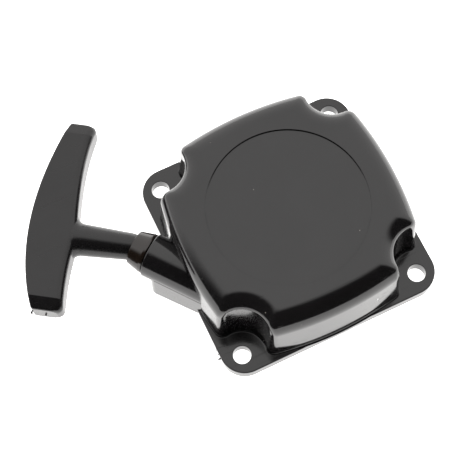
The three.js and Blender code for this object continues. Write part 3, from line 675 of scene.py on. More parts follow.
class MakeHousing(bpy.types.Operator):
    """Model the moulded housing: dome, bolt flange, rope outlet, web and reel space"""
    bl_idname = "starter.housing"
    bl_label = "Housing"
    bl_options = {"REGISTER", "UNDO"}

    def section(self, sizes, inset, growth, lobe):
        """The dome's outline at one height: bowed sides, hollows round the bolts, rounded lobes between."""
        bow_centre = Vector((sizes.side_reach - sizes.side_bow, 0))
        bow = sizes.side_bow - inset
        bolt = Vector((sizes.bolt_pitch / 2, sizes.bolt_pitch / 2))
        hollow = sizes.hollow + growth
        lobe_centre = circles_meet(bow_centre, bow - lobe, bolt, hollow + lobe)
        side_turn = heading(lobe_centre, bow_centre)
        hollow_turn = heading(lobe_centre, bolt)
        far_turn = -1.5 * math.pi - hollow_turn  # mirrored in the diagonal
        mirrored = Vector((lobe_centre.y, lobe_centre.x))
        side = arc(bow_centre, bow, -side_turn, side_turn, 40)
        near = arc(lobe_centre, lobe, side_turn, hollow_turn + math.pi, 9)
        dip = arc(bolt, hollow, hollow_turn, far_turn, 26)
        far = arc(mirrored, lobe, far_turn + math.pi, math.pi / 2 - side_turn, 9)
        quarter = side + near + dip + far
        return [Matrix.Rotation(turn * math.pi / 2, 2) @ p for turn in range(4) for p in quarter]

    def dome(self, sizes):
        """The dome from below the flange's top up to the roof."""
        foot = sizes.flange_thickness
        lean = math.tan(sizes.draft)
        rings = []

        def ring(z, inset, growth, lobe):
            rings.append([(p.x, p.y, z) for p in self.section(sizes, inset, growth, lobe)])

        def shoulder(z, radius):
            """How far a wall that ends in a shoulder has drawn in at height z."""
            spring = ROOF_TOP - radius + radius * math.sin(sizes.draft)
            if z <= spring:
                return (z - foot) * lean
            drop = min(1.0, (z - ROOF_TOP + radius) / radius)
            base = (spring - foot) * lean + radius * math.cos(sizes.draft)
            return base - radius * math.sqrt(max(0.0, 1 - drop ** 2))

        def hollowed(z):
            """How far a hollow's wall has drawn in: straight up to a crease, then along the shoulder."""
            return max((z - foot) * lean, shoulder(z, sizes.hollow_shoulder) - sizes.hollow_trim)

        ring(foot / 2, -sizes.foot, -sizes.foot, sizes.lobe + sizes.foot)
        fillet_steps, shoulder_steps = 5, 22
        for step in range(fillet_steps):
            turn = step / fillet_steps * math.pi / 2
            out = sizes.foot * (1 - math.sin(turn))
            ring(foot + sizes.foot * (1 - math.cos(turn)), -out, -out, sizes.lobe + out)
        fillet_top = foot + sizes.foot
        ring(fillet_top, shoulder(fillet_top, sizes.shoulder), hollowed(fillet_top), sizes.lobe)
        start = math.asin(max(0.0, fillet_top - ROOF_TOP + sizes.shoulder) / sizes.shoulder)
        for step in range(shoulder_steps + 1):
            share_up = step / shoulder_steps
            turn = start + (math.pi / 2 - start) * share_up
            z = ROOF_TOP - sizes.shoulder * (1 - math.sin(turn))
            tightened = 1 - 0.35 * share_up ** 2
            ring(z, shoulder(z, sizes.shoulder), hollowed(z), sizes.lobe * tightened)
        return skinned(rings)

    def flange(self, sizes):
        """The square bolt flange."""
        half = sizes.flange_side / 2
        square = [(half, -half), (half, half), (-half, half), (-half, -half)]
        outline = rounded([(x, y, sizes.flange_corner) for x, y in square], 16)
        return slab(outline, 0, sizes.flange_thickness, sizes.edge)

    def bolt_holes(self, sizes):
        """Cutters for the bolt holes, flared at both faces."""
        r, t, e = sizes.hole_radius, sizes.flange_thickness, sizes.edge * 0.8
        profile = [(0, -e), (r + 2 * e, -e), (r + e, 0), (r + 0.3 * e, 0.3 * e), (r, e), (r, t - e),
                   (r + 0.3 * e, t - 0.3 * e), (r + e, t), (r + 2 * e, t + e), (0, t + e)]
        half = sizes.bolt_pitch / 2
        return [moved(spun(profile, 64), x, y) for x in (-half, half) for y in (-half, half)]

    def outlet(self, sizes):
        """The round boss and the web below it, in the outlet's own frame."""
        r, end, rim, web_edge = sizes.boss, sizes.boss_reach, 0.5 * MM, 0.25 * MM
        boss = along_x(spun(rounded([(0, 0, 0), (r, 0, 0), (r, end, rim), (0, end, 0)], 4), 96))
        reach, half, c = end - sizes.web_setback, r + sizes.web_proud, sizes.web_corner
        outline = rounded([(0, -half, 0), (reach, -half, c), (reach, half, c), (0, half, 0)], 8)
        web = slab(outline, -ROPE_HEIGHT, 0, web_edge, 2)
        over_flange = reach / 2
        for v in web.verts:
            if v.co.z < -ROPE_HEIGHT / 2:
                if v.co.x < over_flange:
                    v.co.z += sizes.flange_thickness / 2 * (1 - v.co.x / over_flange)
                v.co.y *= 1 + sizes.web_spread / r
        return boss, web

    def space(self, sizes):
        """Cutter for the reel's space, with the post left standing and its edges rounded."""
        ceiling = ROOF_TOP - sizes.label_depth - sizes.roof
        post_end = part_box("pawl_guide")[0].z
        e = 0.8 * MM
        return spun(rounded([
            (0, -e, 0), (sizes.cavity + 2 * e, -e, 0), (sizes.cavity + e, 0, 0), (sizes.cavity, e, 0),
            (sizes.cavity, ceiling, e), (sizes.post, ceiling, e), (sizes.post, post_end, 0),
            (0, post_end, 0)], 5), 144)

    def lightening(self, sizes):
        """Cutters for the hollows moulded in the underside, outside the reel's space."""
        inner, outer = sizes.cavity + sizes.wall, sizes.lightening_reach
        spread = sizes.lightening_spread
        cutters = []
        for quarter in range(4):
            for side in (-1, 1):
                bolt_turn = math.pi / 4 + quarter * math.pi / 2
                turn = bolt_turn + side * sizes.lightening_turn
                outline = (arc((0, 0), inner, turn + spread, turn - spread, 6)
                           + arc((0, 0), outer, turn - spread, turn + spread, 6))
                cutters.append(slab(outline, -OVERCUT, sizes.lightening_depth))
        return cutters

    def label(self, sizes):
        """Cutter for the round label recess, with its edges rounded."""
        r, floor, lip = sizes.label_radius, ROOF_TOP - sizes.label_depth, 0.18 * MM
        profile = [(0, floor), (r - lip, floor), (r, floor + lip), (r, ROOF_TOP - lip),
                   (r + 0.3 * lip, ROOF_TOP - 0.3 * lip), (r + lip, ROOF_TOP), (r + 2 * lip, ROOF_TOP + lip),
                   (0, ROOF_TOP + lip)]
        return spun(profile, 192)

    def mould_marks(self, sizes):
        """Fine raised lines of a mould insert across the flange, either side of the outlet."""
        half = sizes.flange_side / 2
        marks = []
        for y, lean in ((9.5 * MM, 0.25), (-27.5 * MM, -0.2)):
            bar = slab([(-half - 0.1 * MM, -0.12 * MM), (-half + 8 * MM, -0.12 * MM),
                        (-half + 8 * MM, 0.12 * MM), (-half - 0.1 * MM, 0.12 * MM)],
                       0.4 * MM, sizes.flange_thickness + 0.12 * MM)
            bmesh.ops.rotate(bar, verts=bar.verts, cent=(-half, 0, 0), matrix=Matrix.Rotation(lean, 3, "Z"))
            marks.append(moved(bar, 0, y))
        for y, size in ((-30.5 * MM, 0.9 * MM), (-28.9 * MM, 0.5 * MM)):
            nub = bmesh.new()
            bmesh.ops.create_cone(nub, cap_ends=True, segments=7, radius1=size / 2, radius2=size / 6,
                                  depth=size, matrix=Matrix.Rotation(-math.pi / 2, 4, "Y"))
            marks.append(moved(nub, -half - size / 2 + 0.1 * MM, y, 1.1 * MM))
        return marks

    def execute(self, context):
        scene = context.scene
        sizes = scene.starter_housing
        piece = as_object("housing_moulding", self.flange(sizes))
        combined(piece, "UNION", self.dome(sizes), *self.mould_marks(sizes))
        outlet = at_outlet(sizes)
        local = round_crank().inverted() @ outlet
        for solid in self.outlet(sizes):
            bmesh.ops.transform(solid, matrix=local, verts=solid.verts)
            combined(piece, "UNION", solid)
        rope_hole = along_x(cylinder(3 * MM, 0, sizes.boss_reach))
        seat = sizes.boss_reach - sizes.bore_depth
        lip = 0.3 * MM
        face = sizes.boss_reach
        bore = along_x(spun([(0, seat), (sizes.bore, seat), (sizes.bore, face - lip),
                             (sizes.bore + 2 * lip, face + lip), (0, face + lip)], 64))
        for solid in (rope_hole, bore):
            bmesh.ops.transform(solid, matrix=local, verts=solid.verts)
        post_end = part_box("pawl_guide")[0].z
        insert_low, insert_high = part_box("post_insert")
        insert_hole = cylinder((insert_high.x - insert_low.x) / 2 + GAP, post_end - OVERCUT,
                               insert_high.z + GAP)
        combined(piece, "DIFFERENCE", self.space(sizes), rope_hole, bore, insert_hole, self.label(sizes),
                 *self.bolt_holes(sizes), *self.lightening(sizes))
        placed(piece, round_crank())
        finished(piece, material("black_plastic"), "housing", "black_plastic", "housing", sharp=28)
        return {"FINISHED"}


class MakeGuide(bpy.types.Operator):
    """Model the tapered rope guide pressed into the outlet"""
    bl_idname = "starter.guide"
    bl_label = "Rope guide"
    bl_options = {"REGISTER", "UNDO"}

    def execute(self, context):
        scene = context.scene
        sizes, handle, works = scene.starter_housing, scene.starter_handle, scene.starter_works
        base = sizes.boss_reach + GAP
        rim = (at_outlet(sizes).inverted() @ MOUTH).x
        socket = handle.nose + 2 * GAP
        throat = works.rope + GAP
        seat = base - sizes.bore_depth + GAP
        spigot = sizes.bore - GAP
        bowl_start = math.acos(throat / socket)
        turns = [bowl_start * (1 - i / 10) for i in range(10)]
        bowl = [(socket * math.cos(t), rim - socket * math.sin(t)) for t in turns]
        lip = 0.35 * MM
        side, draw = sizes.ring_radius, 0.05 * MM
        collar = base + sizes.ring_collar
        outside = rounded([
            (socket + lip, rim, 0), (sizes.ring_tip, rim, lip), (side - draw, collar, 0.5 * MM),
            (side, base, lip), (spigot, base, 0), (spigot, seat, lip), (throat, seat, 0)], 5)
        guide = as_object("guide_ring", along_x(spun(bowl + [(socket, rim - lip)] + outside, 96)))
        placed(guide, at_outlet(sizes))
        finished(guide, material("guide_plastic"), "housing", "guide_plastic", "rope_guide", sharp=40)
        return {"FINISHED"}


class MakeHandle(bpy.types.Operator):
    """Model the T handle with its ball nose, and the cap over the knot"""
    bl_idname = "starter.handle"
    bl_label = "Handle"
    bl_options = {"REGISTER", "UNDO"}

    def bowed(self, y, ends, middle):
        """A point on a quadratic side of the grip at y; ends and middle are (x, y) control points."""
        (x0, y0), (x2, y2) = ends
        x1, y1 = middle
        a, b, c = y0 - 2 * y1 + y2, 2 * (y1 - y0), y0 - y
        root = math.sqrt(max(0.0, b * b - 4 * a * c))
        t = (-b + root) / (2 * a) if abs(a) > 1e-9 else -c / b
        if not -0.01 <= t <= 1.01:
            t = (-b - root) / (2 * a)
        return (1 - t) ** 2 * x0 + 2 * t * (1 - t) * x1 + t ** 2 * x2

    def ring(self, h, y):
        """The grip's section across its length at y: crisp outer edges and round finger edges."""
        short_end = (h.reach - h.short_sweep, h.short_arm)
        long_end = (h.reach - h.long_sweep, -h.long_arm)
        outer = self.bowed(y, (short_end, long_end), (h.reach + h.outer_bow, -h.outer_shift))
        root, short_drop, long_rise = (h.start, 0), 0.2 * MM, 0.1 * MM
        if y > 0:
            inner = self.bowed(y, (root, (h.start - short_drop, h.short_arm)),
                               (h.start + h.short_bow, h.short_arm / 2))
        else:
            inner = self.bowed(y, (root, (h.start + long_rise, -h.long_arm)),
                               (h.start + h.long_bow, -0.62 * h.long_arm))
        half = h.thickness / 2
        to_end = h.short_arm - y if y > 0 else h.long_arm + y
        if to_end < h.facet:
            half -= h.facet_drop * (1 - to_end / h.facet)
        half -= self.drawn_in(to_end, h.end_edge)
        inner += self.drawn_in(to_end, h.corner)
        outer -= self.drawn_in(to_end, h.outer_corner)
        big, small = min(h.edge, half * 0.95), min(h.outer_edge, half * 0.5)
        corners = [(inner, -half, big), (outer, -half, small), (outer, half, small), (inner, half, big)]
        return [(p.x, y, p.y) for p in rounded(corners, 9)]

    def drawn_in(self, to_end, radius):
        """How far a side has drawn in, at a distance from an end that is rounded by a radius."""
        return radius - math.sqrt(radius ** 2 - (radius - to_end) ** 2) if to_end < radius else 0.0

    def grip(self, h):
        """The crescent grip, skinned over sections that close in at its rounded ends."""
        sliver = 0.02 * MM

        def end_distances():
            """Distances from an end that get closer towards it, with the facet's start among them."""
            rounds = [h.corner * (1 - math.sin(i / 10 * math.pi / 2)) + sliver for i in range(10)]
            edge = [h.end_edge * (1 - math.sin(i / 5 * math.pi / 2)) + sliver for i in range(5)]
            return sorted({*rounds, *edge, sliver, h.facet - 0.1 * MM, h.facet + 0.1 * MM})

        distances = end_distances()
        low, high = distances[-1] - h.long_arm, h.short_arm - distances[-1]
        count = 44
        stations = ([d - h.long_arm for d in distances]
                    + [low + (high - low) * (i + 1) / (count + 1) for i in range(count)]
                    + [h.short_arm - d for d in reversed(distances)])
        return skinned([self.ring(h, y) for y in stations])

    def stem(self, h):
        """The round stem from its ball nose, flared into the grip's finger side."""
        rings = []

        def ring(x, wide, high):
            turns = [FULL_TURN * i / 72 for i in range(72)]
            rings.append([(x, wide * math.cos(t), high * math.sin(t)) for t in turns])

        for i in range(1, 11):
            turn = i / 10 * math.pi / 2
            ring(-h.nose * math.cos(turn), h.nose * math.sin(turn), h.nose * math.sin(turn))
        flare_start = h.start + 1.1 * MM - h.flare
        ring(1.2 * MM, h.stem_tip, h.stem_tip)
        for i in range(1, 7):
            radius = h.stem_tip + (h.stem_root - h.stem_tip) * i / 6
            x = 1.2 * MM + (flare_start - 1.2 * MM) * i / 6
            ring(x, radius, radius)
        for i in range(1, 11):
            turn = i / 10 * math.radians(80)
            out = h.flare * (1 - math.cos(turn))
            ring(flare_start + h.flare * math.sin(turn), h.stem_root + out, h.stem_root + 0.06 * out)
        ring(h.start + 6 * MM, h.stem_root + h.flare, h.stem_root - 0.4 * MM)
        return skinned(rings)

    def execute(self, context):
        scene = context.scene
        h, works = scene.starter_handle, scene.starter_works
        grip = as_object("grip_moulding", self.grip(h))
        bore = along_x(cylinder(works.rope + 0.4 * MM, -2 * h.nose, h.reach))
        pocket = along_x(cylinder(h.pocket, h.reach - h.pocket_depth, h.reach + 10 * MM, 64))
        combined(grip, "UNION", self.stem(h), *self.flash_nubs(h))
        combined(grip, "DIFFERENCE", bore, pocket)
        placed(grip, at_mouth(scene.starter_housing, h))
        finished(grip, material("handle_plastic"), "handle", "black_plastic", "handle_grip", sharp=40)
        self.cap(scene, h)
        return {"FINISHED"}

    def flash_nubs(self, h):
        """Nubs of flash left by the mould at the ends of the grip."""
        nubs = []
        for x, y, size in ((h.reach - 5.9 * MM, h.short_arm, 1.0), (h.reach - 10.9 * MM, h.short_arm, 0.7),
                           (h.reach - 7.0 * MM, -h.long_arm, 0.8)):
            nub = bmesh.new()
            bmesh.ops.create_cone(nub, cap_ends=True, segments=8, radius1=size * 0.5 * MM,
                                  radius2=size * 0.2 * MM, depth=1.2 * MM,
                                  matrix=Matrix.Rotation(math.pi / 2, 4, "X"))
            nubs.append(moved(nub, x, y - math.copysign(0.1 * MM, y), -0.6 * MM))
        return nubs

    def cap(self, scene, h):
        """The plug over the knot, dished in the middle."""
        r, thickness = h.pocket - GAP, 1.5 * MM
        centre = at_mouth(scene.starter_housing, h).inverted() @ middle("grip_cap")
        low, high = centre.x - thickness / 2, centre.x + thickness / 2
        profile = rounded([(0, low, 0), (r, low, 0.2 * MM), (r, high, 0.5 * MM), (2.6 * MM, high, 0.3 * MM),
                           (2.2 * MM, high - 0.5 * MM, 0.3 * MM), (0, high - 0.5 * MM, 0)], 4)
        cap = as_object("grip_end_cap", along_x(spun(profile, 64)))
        placed(cap, at_mouth(scene.starter_housing, h))
        finished(cap, material("guide_plastic"), "handle", "guide_plastic", "grip_cap", sharp=40)


class MakeRope(bpy.types.Operator):
    """Model the braided rope: wound on the reel, through the guide, and inside the handle"""
    bl_idname = "starter.rope"
    bl_label = "Rope"
    bl_options = {"REGISTER", "UNDO"}

    def swept(self, name, points, radius, pitch, runs=None, sides=16):
        """A round rope along points; 'lay' holds the angle's cosine and sine, and turns of the braid."""
        bm = bmesh.new()
        lay = bm.verts.layers.float_vector.new("lay")
        loops = []
        side = None
        run = 0.0
        for i, point in enumerate(points):
            ahead = points[min(i + 1, len(points) - 1)]
            behind = points[max(i - 1, 0)]
            along = (ahead - behind).normalized()
            if i:
                run += (point - points[i - 1]).length
            seed = side if side is not None else AXIS_Z
            side = (seed - along * seed.dot(along)).normalized()
            other = along.cross(side)
            verts = []
            for j in range(sides):
                c, s = math.cos(FULL_TURN * j / sides), math.sin(FULL_TURN * j / sides)
                vert = bm.verts.new(point + radius * (c * side + s * other))
                vert[lay] = (c, s, (runs[i] if runs else run) / pitch)
                verts.append(vert)
            loops.append([bm.edges.new(pair) for pair in zip(verts, verts[1:] + verts[:1])])
        for lower, upper in zip(loops, loops[1:]):
            bmesh.ops.bridge_loops(bm, edges=lower + upper)
        for end in (loops[0], loops[-1]):
            bmesh.ops.edgeloop_fill(bm, edges=end)
        bmesh.ops.recalc_face_normals(bm, faces=bm.faces)
        return as_object(name, bm)

    def winding(self, sizes, works):
        """The rope's line from the groove's root out to where it leaves the reel."""
        outlet = at_outlet(sizes)
        leave = outlet.translation - CRANK
        last_turn = math.atan2(leave.y, leave.x)
        last_radius = Vector((leave.x, leave.y)).length
        low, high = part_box("rope_wound")
        first = works.reel_root + works.rope + GAP
        step = 1.97 * works.rope
        side = (high.z - low.z) / 2 - works.rope
        turns = works.turns
        per_turn, run_out = 72, 0.35
        count = round(turns * per_turn)
        points = []
        for i in range(count + 1):
            t = turns * (1 - i / count)
            row = t / 2
            layer = min(math.floor(row), 2)
            climb = min(1.0, (row - layer) * 12) if layer else 1.0
            radius = first + step * (layer - 1 + climb) if layer else first
            across = side * math.cos(math.pi * min(1.0, max(0.0, (row - layer) * 2.6 - 0.8)))
            if layer % 2:
                across = -across
            if t > turns - run_out:
                pull = (t - turns + run_out) / run_out
                ease = pull * pull * (3 - 2 * pull)
                radius += (last_radius - radius) * ease
                across -= across * ease
            turn = last_turn + FULL_TURN * (turns - t)
            place = (radius * math.cos(turn), radius * math.sin(turn), ROPE_HEIGHT + across)
            points.append(CRANK + Vector(place))
        return points

    def execute(self, context):
        scene = context.scene
        sizes, handle, works = scene.starter_housing, scene.starter_handle, scene.starter_works
        rope = material("rope_braid")
        wound = self.swept("rope_turns", self.winding(sizes, works), works.rope * 0.985, works.rope_pitch)
        finished(wound, rope, "reel", "rope_nylon", "rope_wound", sharp=80)
        low, high = -0.2 * MM, (at_outlet(sizes).inverted() @ MOUTH).x - handle.nose - 2 * GAP
        line = [at_outlet(sizes) @ Vector((low + (high - low) * i / 60, 0, 0)) for i in range(61)]
        through = self.swept("rope_through_guide", line, works.rope * 0.97, works.rope_pitch)
        finished(through, rope, "housing", "rope_nylon", "rope_run", sharp=80)
        self.lead(scene, rope)
        return {"FINISHED"}

    def lead(self, scene, rope):
        """The rope in the handle. It draws out between the guide and the handle as the handle is pulled."""
        handle, works = scene.starter_handle, scene.starter_works
        travel = joint("handle_pull")["range_m"][1]
        start, end = GAP - handle.nose, handle.reach - handle.pocket_depth + 1.3 * MM
        stretch_start, stretch_end = -1.5 * MM, 12 * MM
        count = 420
        places, runs = [start], [0.0]
        for i in range(count + 1):
            x = stretch_start + (stretch_end - stretch_start) * i / count
            t = i / count
            places.append(x)
            runs.append(x - start + travel * t * t * (3 - 2 * t))
        for i in range(1, 13):
            x = stretch_end + (end - stretch_end) * i / 12
            places.append(x)
            runs.append(x - start + travel)
        matrix = at_mouth(scene.starter_housing, handle)
        line = [matrix @ Vector((x, 0, 0)) for x in places]
        lead = self.swept("rope_to_handle", line, works.rope * 0.97, works.rope_pitch, runs, 14)
        lead.data.materials.append(rope)
        lead.data.shade_smooth()
        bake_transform(lead)
        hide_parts("rope_lead")


class MakeReel(bpy.types.Operator):
    """Model the moulded reel with its rope groove, ribs, pivot posts and spring pockets"""
    bl_idname = "starter.reel"
    bl_label = "Reel"
    bl_options = {"REGISTER", "UNDO"}

    def execute(self, context):
        scene = context.scene
        w = scene.starter_works
        low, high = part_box("reel")
        rope_low, rope_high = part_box("rope_wound")
        groove_low, groove_high = rope_low.z - GAP, rope_high.z + GAP
        rim, step, fillet = 1.6 * MM, 0.6 * MM, 0.6 * MM
        core_bottom = groove_low - rim - step
        drag_top = core_bottom + 3.06 * MM
        drag = w.drag_coil + w.drag_wire / 2 + 0.4 * MM
        e, lip, slope = 0.3 * MM, 0.5 * MM, 0.1 * MM
        profile = rounded([
            (w.reel_bore, drag_top, 0), (drag, drag_top, 0), (drag, core_bottom, e),
            (w.reel_core, core_bottom, e), (w.reel_core, groove_low - rim, e),
            (w.reel, groove_low - rim, lip), (w.reel, groove_low, lip),
            (w.reel_root, groove_low + slope, fillet), (w.reel_root, groove_high - slope, fillet),
            (w.reel, groove_high, lip), (w.reel, groove_high + rim, lip),
            (w.reel_hub, groove_high + rim, e), (w.reel_hub, high.z, e), (w.reel_bore, high.z, 0)], 4)
        piece = as_object("reel_moulding", spun(profile, 144))
        self.cut_pockets(piece, w, core_bottom)
        self.add_posts(piece, w, low.z, core_bottom)
        placed(piece, round_crank())
        finished(piece, material("reel_nylon"), "reel", "reel_plastic", "reel", sharp=30)
        return {"FINISHED"}

    def cut_pockets(self, piece, w, core_bottom):
        """Cuts the pawl springs' seats, the knot's pocket and hole, and the spaces between the ribs."""
        bottom = core_bottom - OVERCUT
        spring_top = core_bottom + 3 * w.pawl_wire + GAP
        seat = w.post + 0.4 * MM + 2 * w.pawl_wire
        for pivot in PAWL_PIVOTS:
            cutter = cylinder(seat, bottom, spring_top, 48)
            combined(piece, "DIFFERENCE", moved(cutter, pivot.x - CRANK.x, pivot.y - CRANK.y))
        knot = middle("reel_rope_knot") - CRANK
        knot_low, knot_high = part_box("reel_rope_knot")
        knot_radius = (knot_high.x - knot_low.x) / 2
        centre_y = knot_low.y - CRANK.y + knot_radius
        hole_end = knot_high.y - CRANK.y + GAP + OVERCUT
        pocket = moved(cylinder(knot_radius + GAP, bottom, knot_high.z + GAP), knot.x, centre_y)
        r = w.rope + GAP
        hole = spun([(0, centre_y), (r, centre_y), (r, hole_end), (0, hole_end)], 32)
        lay_flat = Matrix.Rotation(-math.pi / 2, 3, "X")
        bmesh.ops.rotate(hole, verts=hole.verts, cent=(0, 0, 0), matrix=lay_flat)
        hole_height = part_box("rope_wound")[0].z + w.rope
        combined(piece, "DIFFERENCE", pocket, moved(hole, 0, 0, hole_height))
        inner, outer, depth = 11 * MM, 19 * MM, 4.5 * MM
        for degrees in (42, 138, 222, 270, 318):
            turn, half = math.radians(degrees), math.radians(15)
            outline = (arc((0, 0), inner, turn + half * 0.8, turn - half * 0.8, 10)
                       + arc((0, 0), outer, turn - half * 1.15, turn + half * 1.15, 14))
            combined(piece, "DIFFERENCE", slab(outline, bottom, core_bottom + depth))

    def add_posts(self, piece, w, bottom, core_bottom):
        """Adds the posts that the pawls turn on."""
        r, lead_in = w.post, 0.35 * MM
        top = core_bottom + 2.1 * MM
        for pivot in PAWL_PIVOTS:
            post = spun(rounded([(0, bottom, 0), (r, bottom, lead_in), (r, top, 0), (0, top, 0)], 4), 40)
            combined(piece, "UNION", moved(post, pivot.x - CRANK.x, pivot.y - CRANK.y))


class MakeRatchet(bpy.types.Operator):
    """Model the pawls, their springs, the guide plate and the drag spring"""
    bl_idname = "starter.ratchet"
    bl_label = "Ratchet"
    bl_options = {"REGISTER", "UNDO"}

    def peg(self, w, share):
        """Where a peg lies on the guide plate when its pawl has swung by a share of its travel."""
        pivot = Vector((Vector((PAWL_PIVOTS[0].x - CRANK.x, PAWL_PIVOTS[0].y - CRANK.y)).length, 0))
        turn = w.pawl_angle + share * w.pawl_swing
        peg = pivot + w.peg_reach * Vector((math.cos(turn), math.sin(turn)))
        return Matrix.Rotation(share * w.plate_turn, 2) @ peg

    def execute(self, context):
        scene = context.scene
        w = scene.starter_works
        steel, spring = material("plated_steel"), material("spring_steel")
        plate_low, plate_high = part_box("pawl_guide")
        for number, pivot in enumerate(PAWL_PIVOTS, 1):
            self.pawl(w, number, pivot, plate_low.z, steel)
            low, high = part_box(f"pawl_spring_{number}")
            radius = (high.x - low.x - w.pawl_wire) / 2
            wire = coil(radius, w.pawl_wire, low.z + w.pawl_wire / 2, high.z - w.pawl_wire / 2, 1.4)
            piece = as_object(f"pawl_return_spring_{number}", wire)
            placed(piece, Matrix.Translation((pivot.x, pivot.y, 0)))
            finished(piece, spring, "reel", "spring_steel", f"pawl_spring_{number}", sharp=60)
        self.plate(w, plate_low.z, plate_high.z, steel)
        low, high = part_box("friction_spring")
        wire = coil(w.drag_coil, w.drag_wire, low.z + w.drag_wire / 2, high.z - w.drag_wire / 2, 3, 60, 12)
        drag = placed(as_object("drag_spring", wire), round_crank())
        finished(drag, spring, "reel", "spring_steel", "friction_spring", sharp=60)
        return {"FINISHED"}

    def pawl(self, w, number, pivot, peg_bottom, steel):
        """A pawl with its peg, from its pivot hole to its round tip."""
        top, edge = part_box(f"pawl_{number}")[1].z, 0.3 * MM
        bottom = top - w.pawl_thickness
        tip = w.pawl_length * Vector((math.cos(w.pawl_angle), math.sin(w.pawl_angle)))
        peg = w.peg_reach * Vector((math.cos(w.pawl_angle), math.sin(w.pawl_angle)))
        outline = arm_outline(Vector((0, 0)), w.pawl_hub, tip, w.pawl_tip)
        piece = as_object(f"pawl_arm_{number}", slab(outline, bottom, top, edge, 3))
        peg_top = bottom + edge
        pin = spun(rounded([(0, peg_bottom, 0), (w.peg, peg_bottom, 0.25 * MM), (w.peg, peg_top, 0),
                            (0, peg_top, 0)], 3), 32)
        combined(piece, "UNION", moved(pin, peg.x, peg.y))
        combined(piece, "DIFFERENCE", cylinder(w.post + GAP, bottom - OVERCUT, top + OVERCUT, 40))
        turn = math.atan2(pivot.y - CRANK.y, pivot.x - CRANK.x)
        placed(piece, Matrix.Translation((pivot.x, pivot.y, 0)) @ Matrix.Rotation(turn, 4, "Z"))
        finished(piece, steel, f"pawl_{number}", "plated_steel", f"pawl_{number}")

    def plate(self, w, bottom, top, steel):
        """The guide plate, with a slot for each pawl's peg in an ear."""
        edge, ear = 0.2 * MM, 3.4 * MM
        low_cut, high_cut = bottom - OVERCUT, top + OVERCUT
        disc = slab(arc((0, 0), w.plate, 0, FULL_TURN, 96), bottom, top, edge, 2)
        plate = as_object("pawl_guide_plate", disc)
        starts = [Matrix.Rotation(i * math.pi, 2) @ self.peg(w, 0) for i in range(2)]
        ends = [Matrix.Rotation(i * math.pi, 2) @ self.peg(w, 1) for i in range(2)]
        for start, end in zip(starts, ends):
            combined(plate, "UNION", slab(arm_outline(start, ear, end, ear), bottom, top, edge, 2))
        slot = w.peg + 2 * GAP
        for start, end in zip(starts, ends):
            combined(plate, "DIFFERENCE", slab(arm_outline(start, slot, end, slot, 12), low_cut, high_cut))
        combined(plate, "DIFFERENCE", cylinder(w.reel_bore, low_cut, high_cut, 72))
        placed(plate, round_crank())
        finished(plate, steel, "pawl_guide", "plated_steel", "pawl_guide")


class MakeFastening(bpy.types.Operator):
    """Model the retaining washer and the cross-head screw"""
    bl_idname = "starter.fastening"
    bl_label = "Washer and screw"
    bl_options = {"REGISTER", "UNDO"}

    def execute(self, context):
        scene = context.scene
        works = scene.starter_works
        steel = material("plated_steel")
        low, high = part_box("retaining_washer")
        r, bore, edge = (high.x - low.x) / 2, works.washer_bore, 0.2 * MM
        corners = [(bore, low.z), (r, low.z), (r, high.z), (bore, high.z)]
        profile = rounded([(x, z, edge) for x, z in corners], 3)
        washer = placed(as_object("washer", spun(profile, 96)), round_crank())
        finished(washer, steel, "housing", "plated_steel", "retaining_washer")
        self.screw(works, steel)
        return {"FINISHED"}

    def screw(self, works, steel):
        """The cross-head screw: domed head, thread in steps of its pitch, and pointed end."""
        low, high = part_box("centre_screw")
        head, head_height = (high.x - low.x) / 2, 1.1 * MM
        head_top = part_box("retaining_washer")[0].z - GAP
        shank, pitch, depth = works.shank, works.thread_pitch, works.thread_depth
        root, lead_in = shank - depth, 0.1 * MM
        turns = [i / 8 * math.pi / 2 for i in range(9)]
        profile = [(head * math.sin(t), low.z + (1 - math.cos(t)) * head_height) for t in turns]
        profile += [(head, head_top - lead_in), (head - lead_in, head_top), (root, head_top)]
        z = head_top + 1.5 * MM
        while z + pitch < high.z - 0.6 * MM:
            profile += [(root, z + 0.3 * pitch), (shank, z + 0.5 * pitch), (root, z + 0.7 * pitch)]
            z += pitch
        profile += [(root, high.z - 0.8 * MM), (shank - 3 * depth, high.z), (0, high.z)]
        piece = as_object("centre_fixing_screw", spun(profile, 72))
        cross, cross_turn = Matrix.Diagonal((5.4 * MM, 0.95 * MM, 2.2 * MM, 1)), 0.4
        for turn in (0, math.pi / 2):
            arm = bmesh.new()
            bmesh.ops.create_cube(arm, size=1, matrix=cross)
            bmesh.ops.rotate(arm, verts=arm.verts, cent=(0, 0, 0),
                             matrix=Matrix.Rotation(turn + cross_turn, 3, "Z"))
            combined(piece, "DIFFERENCE", moved(arm, 0, 0, low.z))
        placed(piece, round_crank())
        finished(piece, steel, "housing", "plated_steel", "centre_screw")


class FinishHiddenParts(bpy.types.Operator):
    """Give the CAD parts that stay as they are their materials"""
    bl_idname = "starter.hidden_parts"
    bl_label = "Spring and hidden parts"
    bl_options = {"REGISTER", "UNDO"}

    def execute(self, context):
        finishes = {
            "post_insert": "insert_brass", "spring_case": "plated_steel", "spring_cover": "plated_steel",
            "recoil_spring": "spring_steel", "knot_washer": "plated_steel", "reel_rope_knot": "rope_knot",
            "grip_rope_knot": "rope_knot",
        }
        for node, name in finishes.items():
            mesh = frame["nodes"][node].data
            mesh.materials.clear()
            mesh.materials.append(material(name))
        return {"FINISHED"}


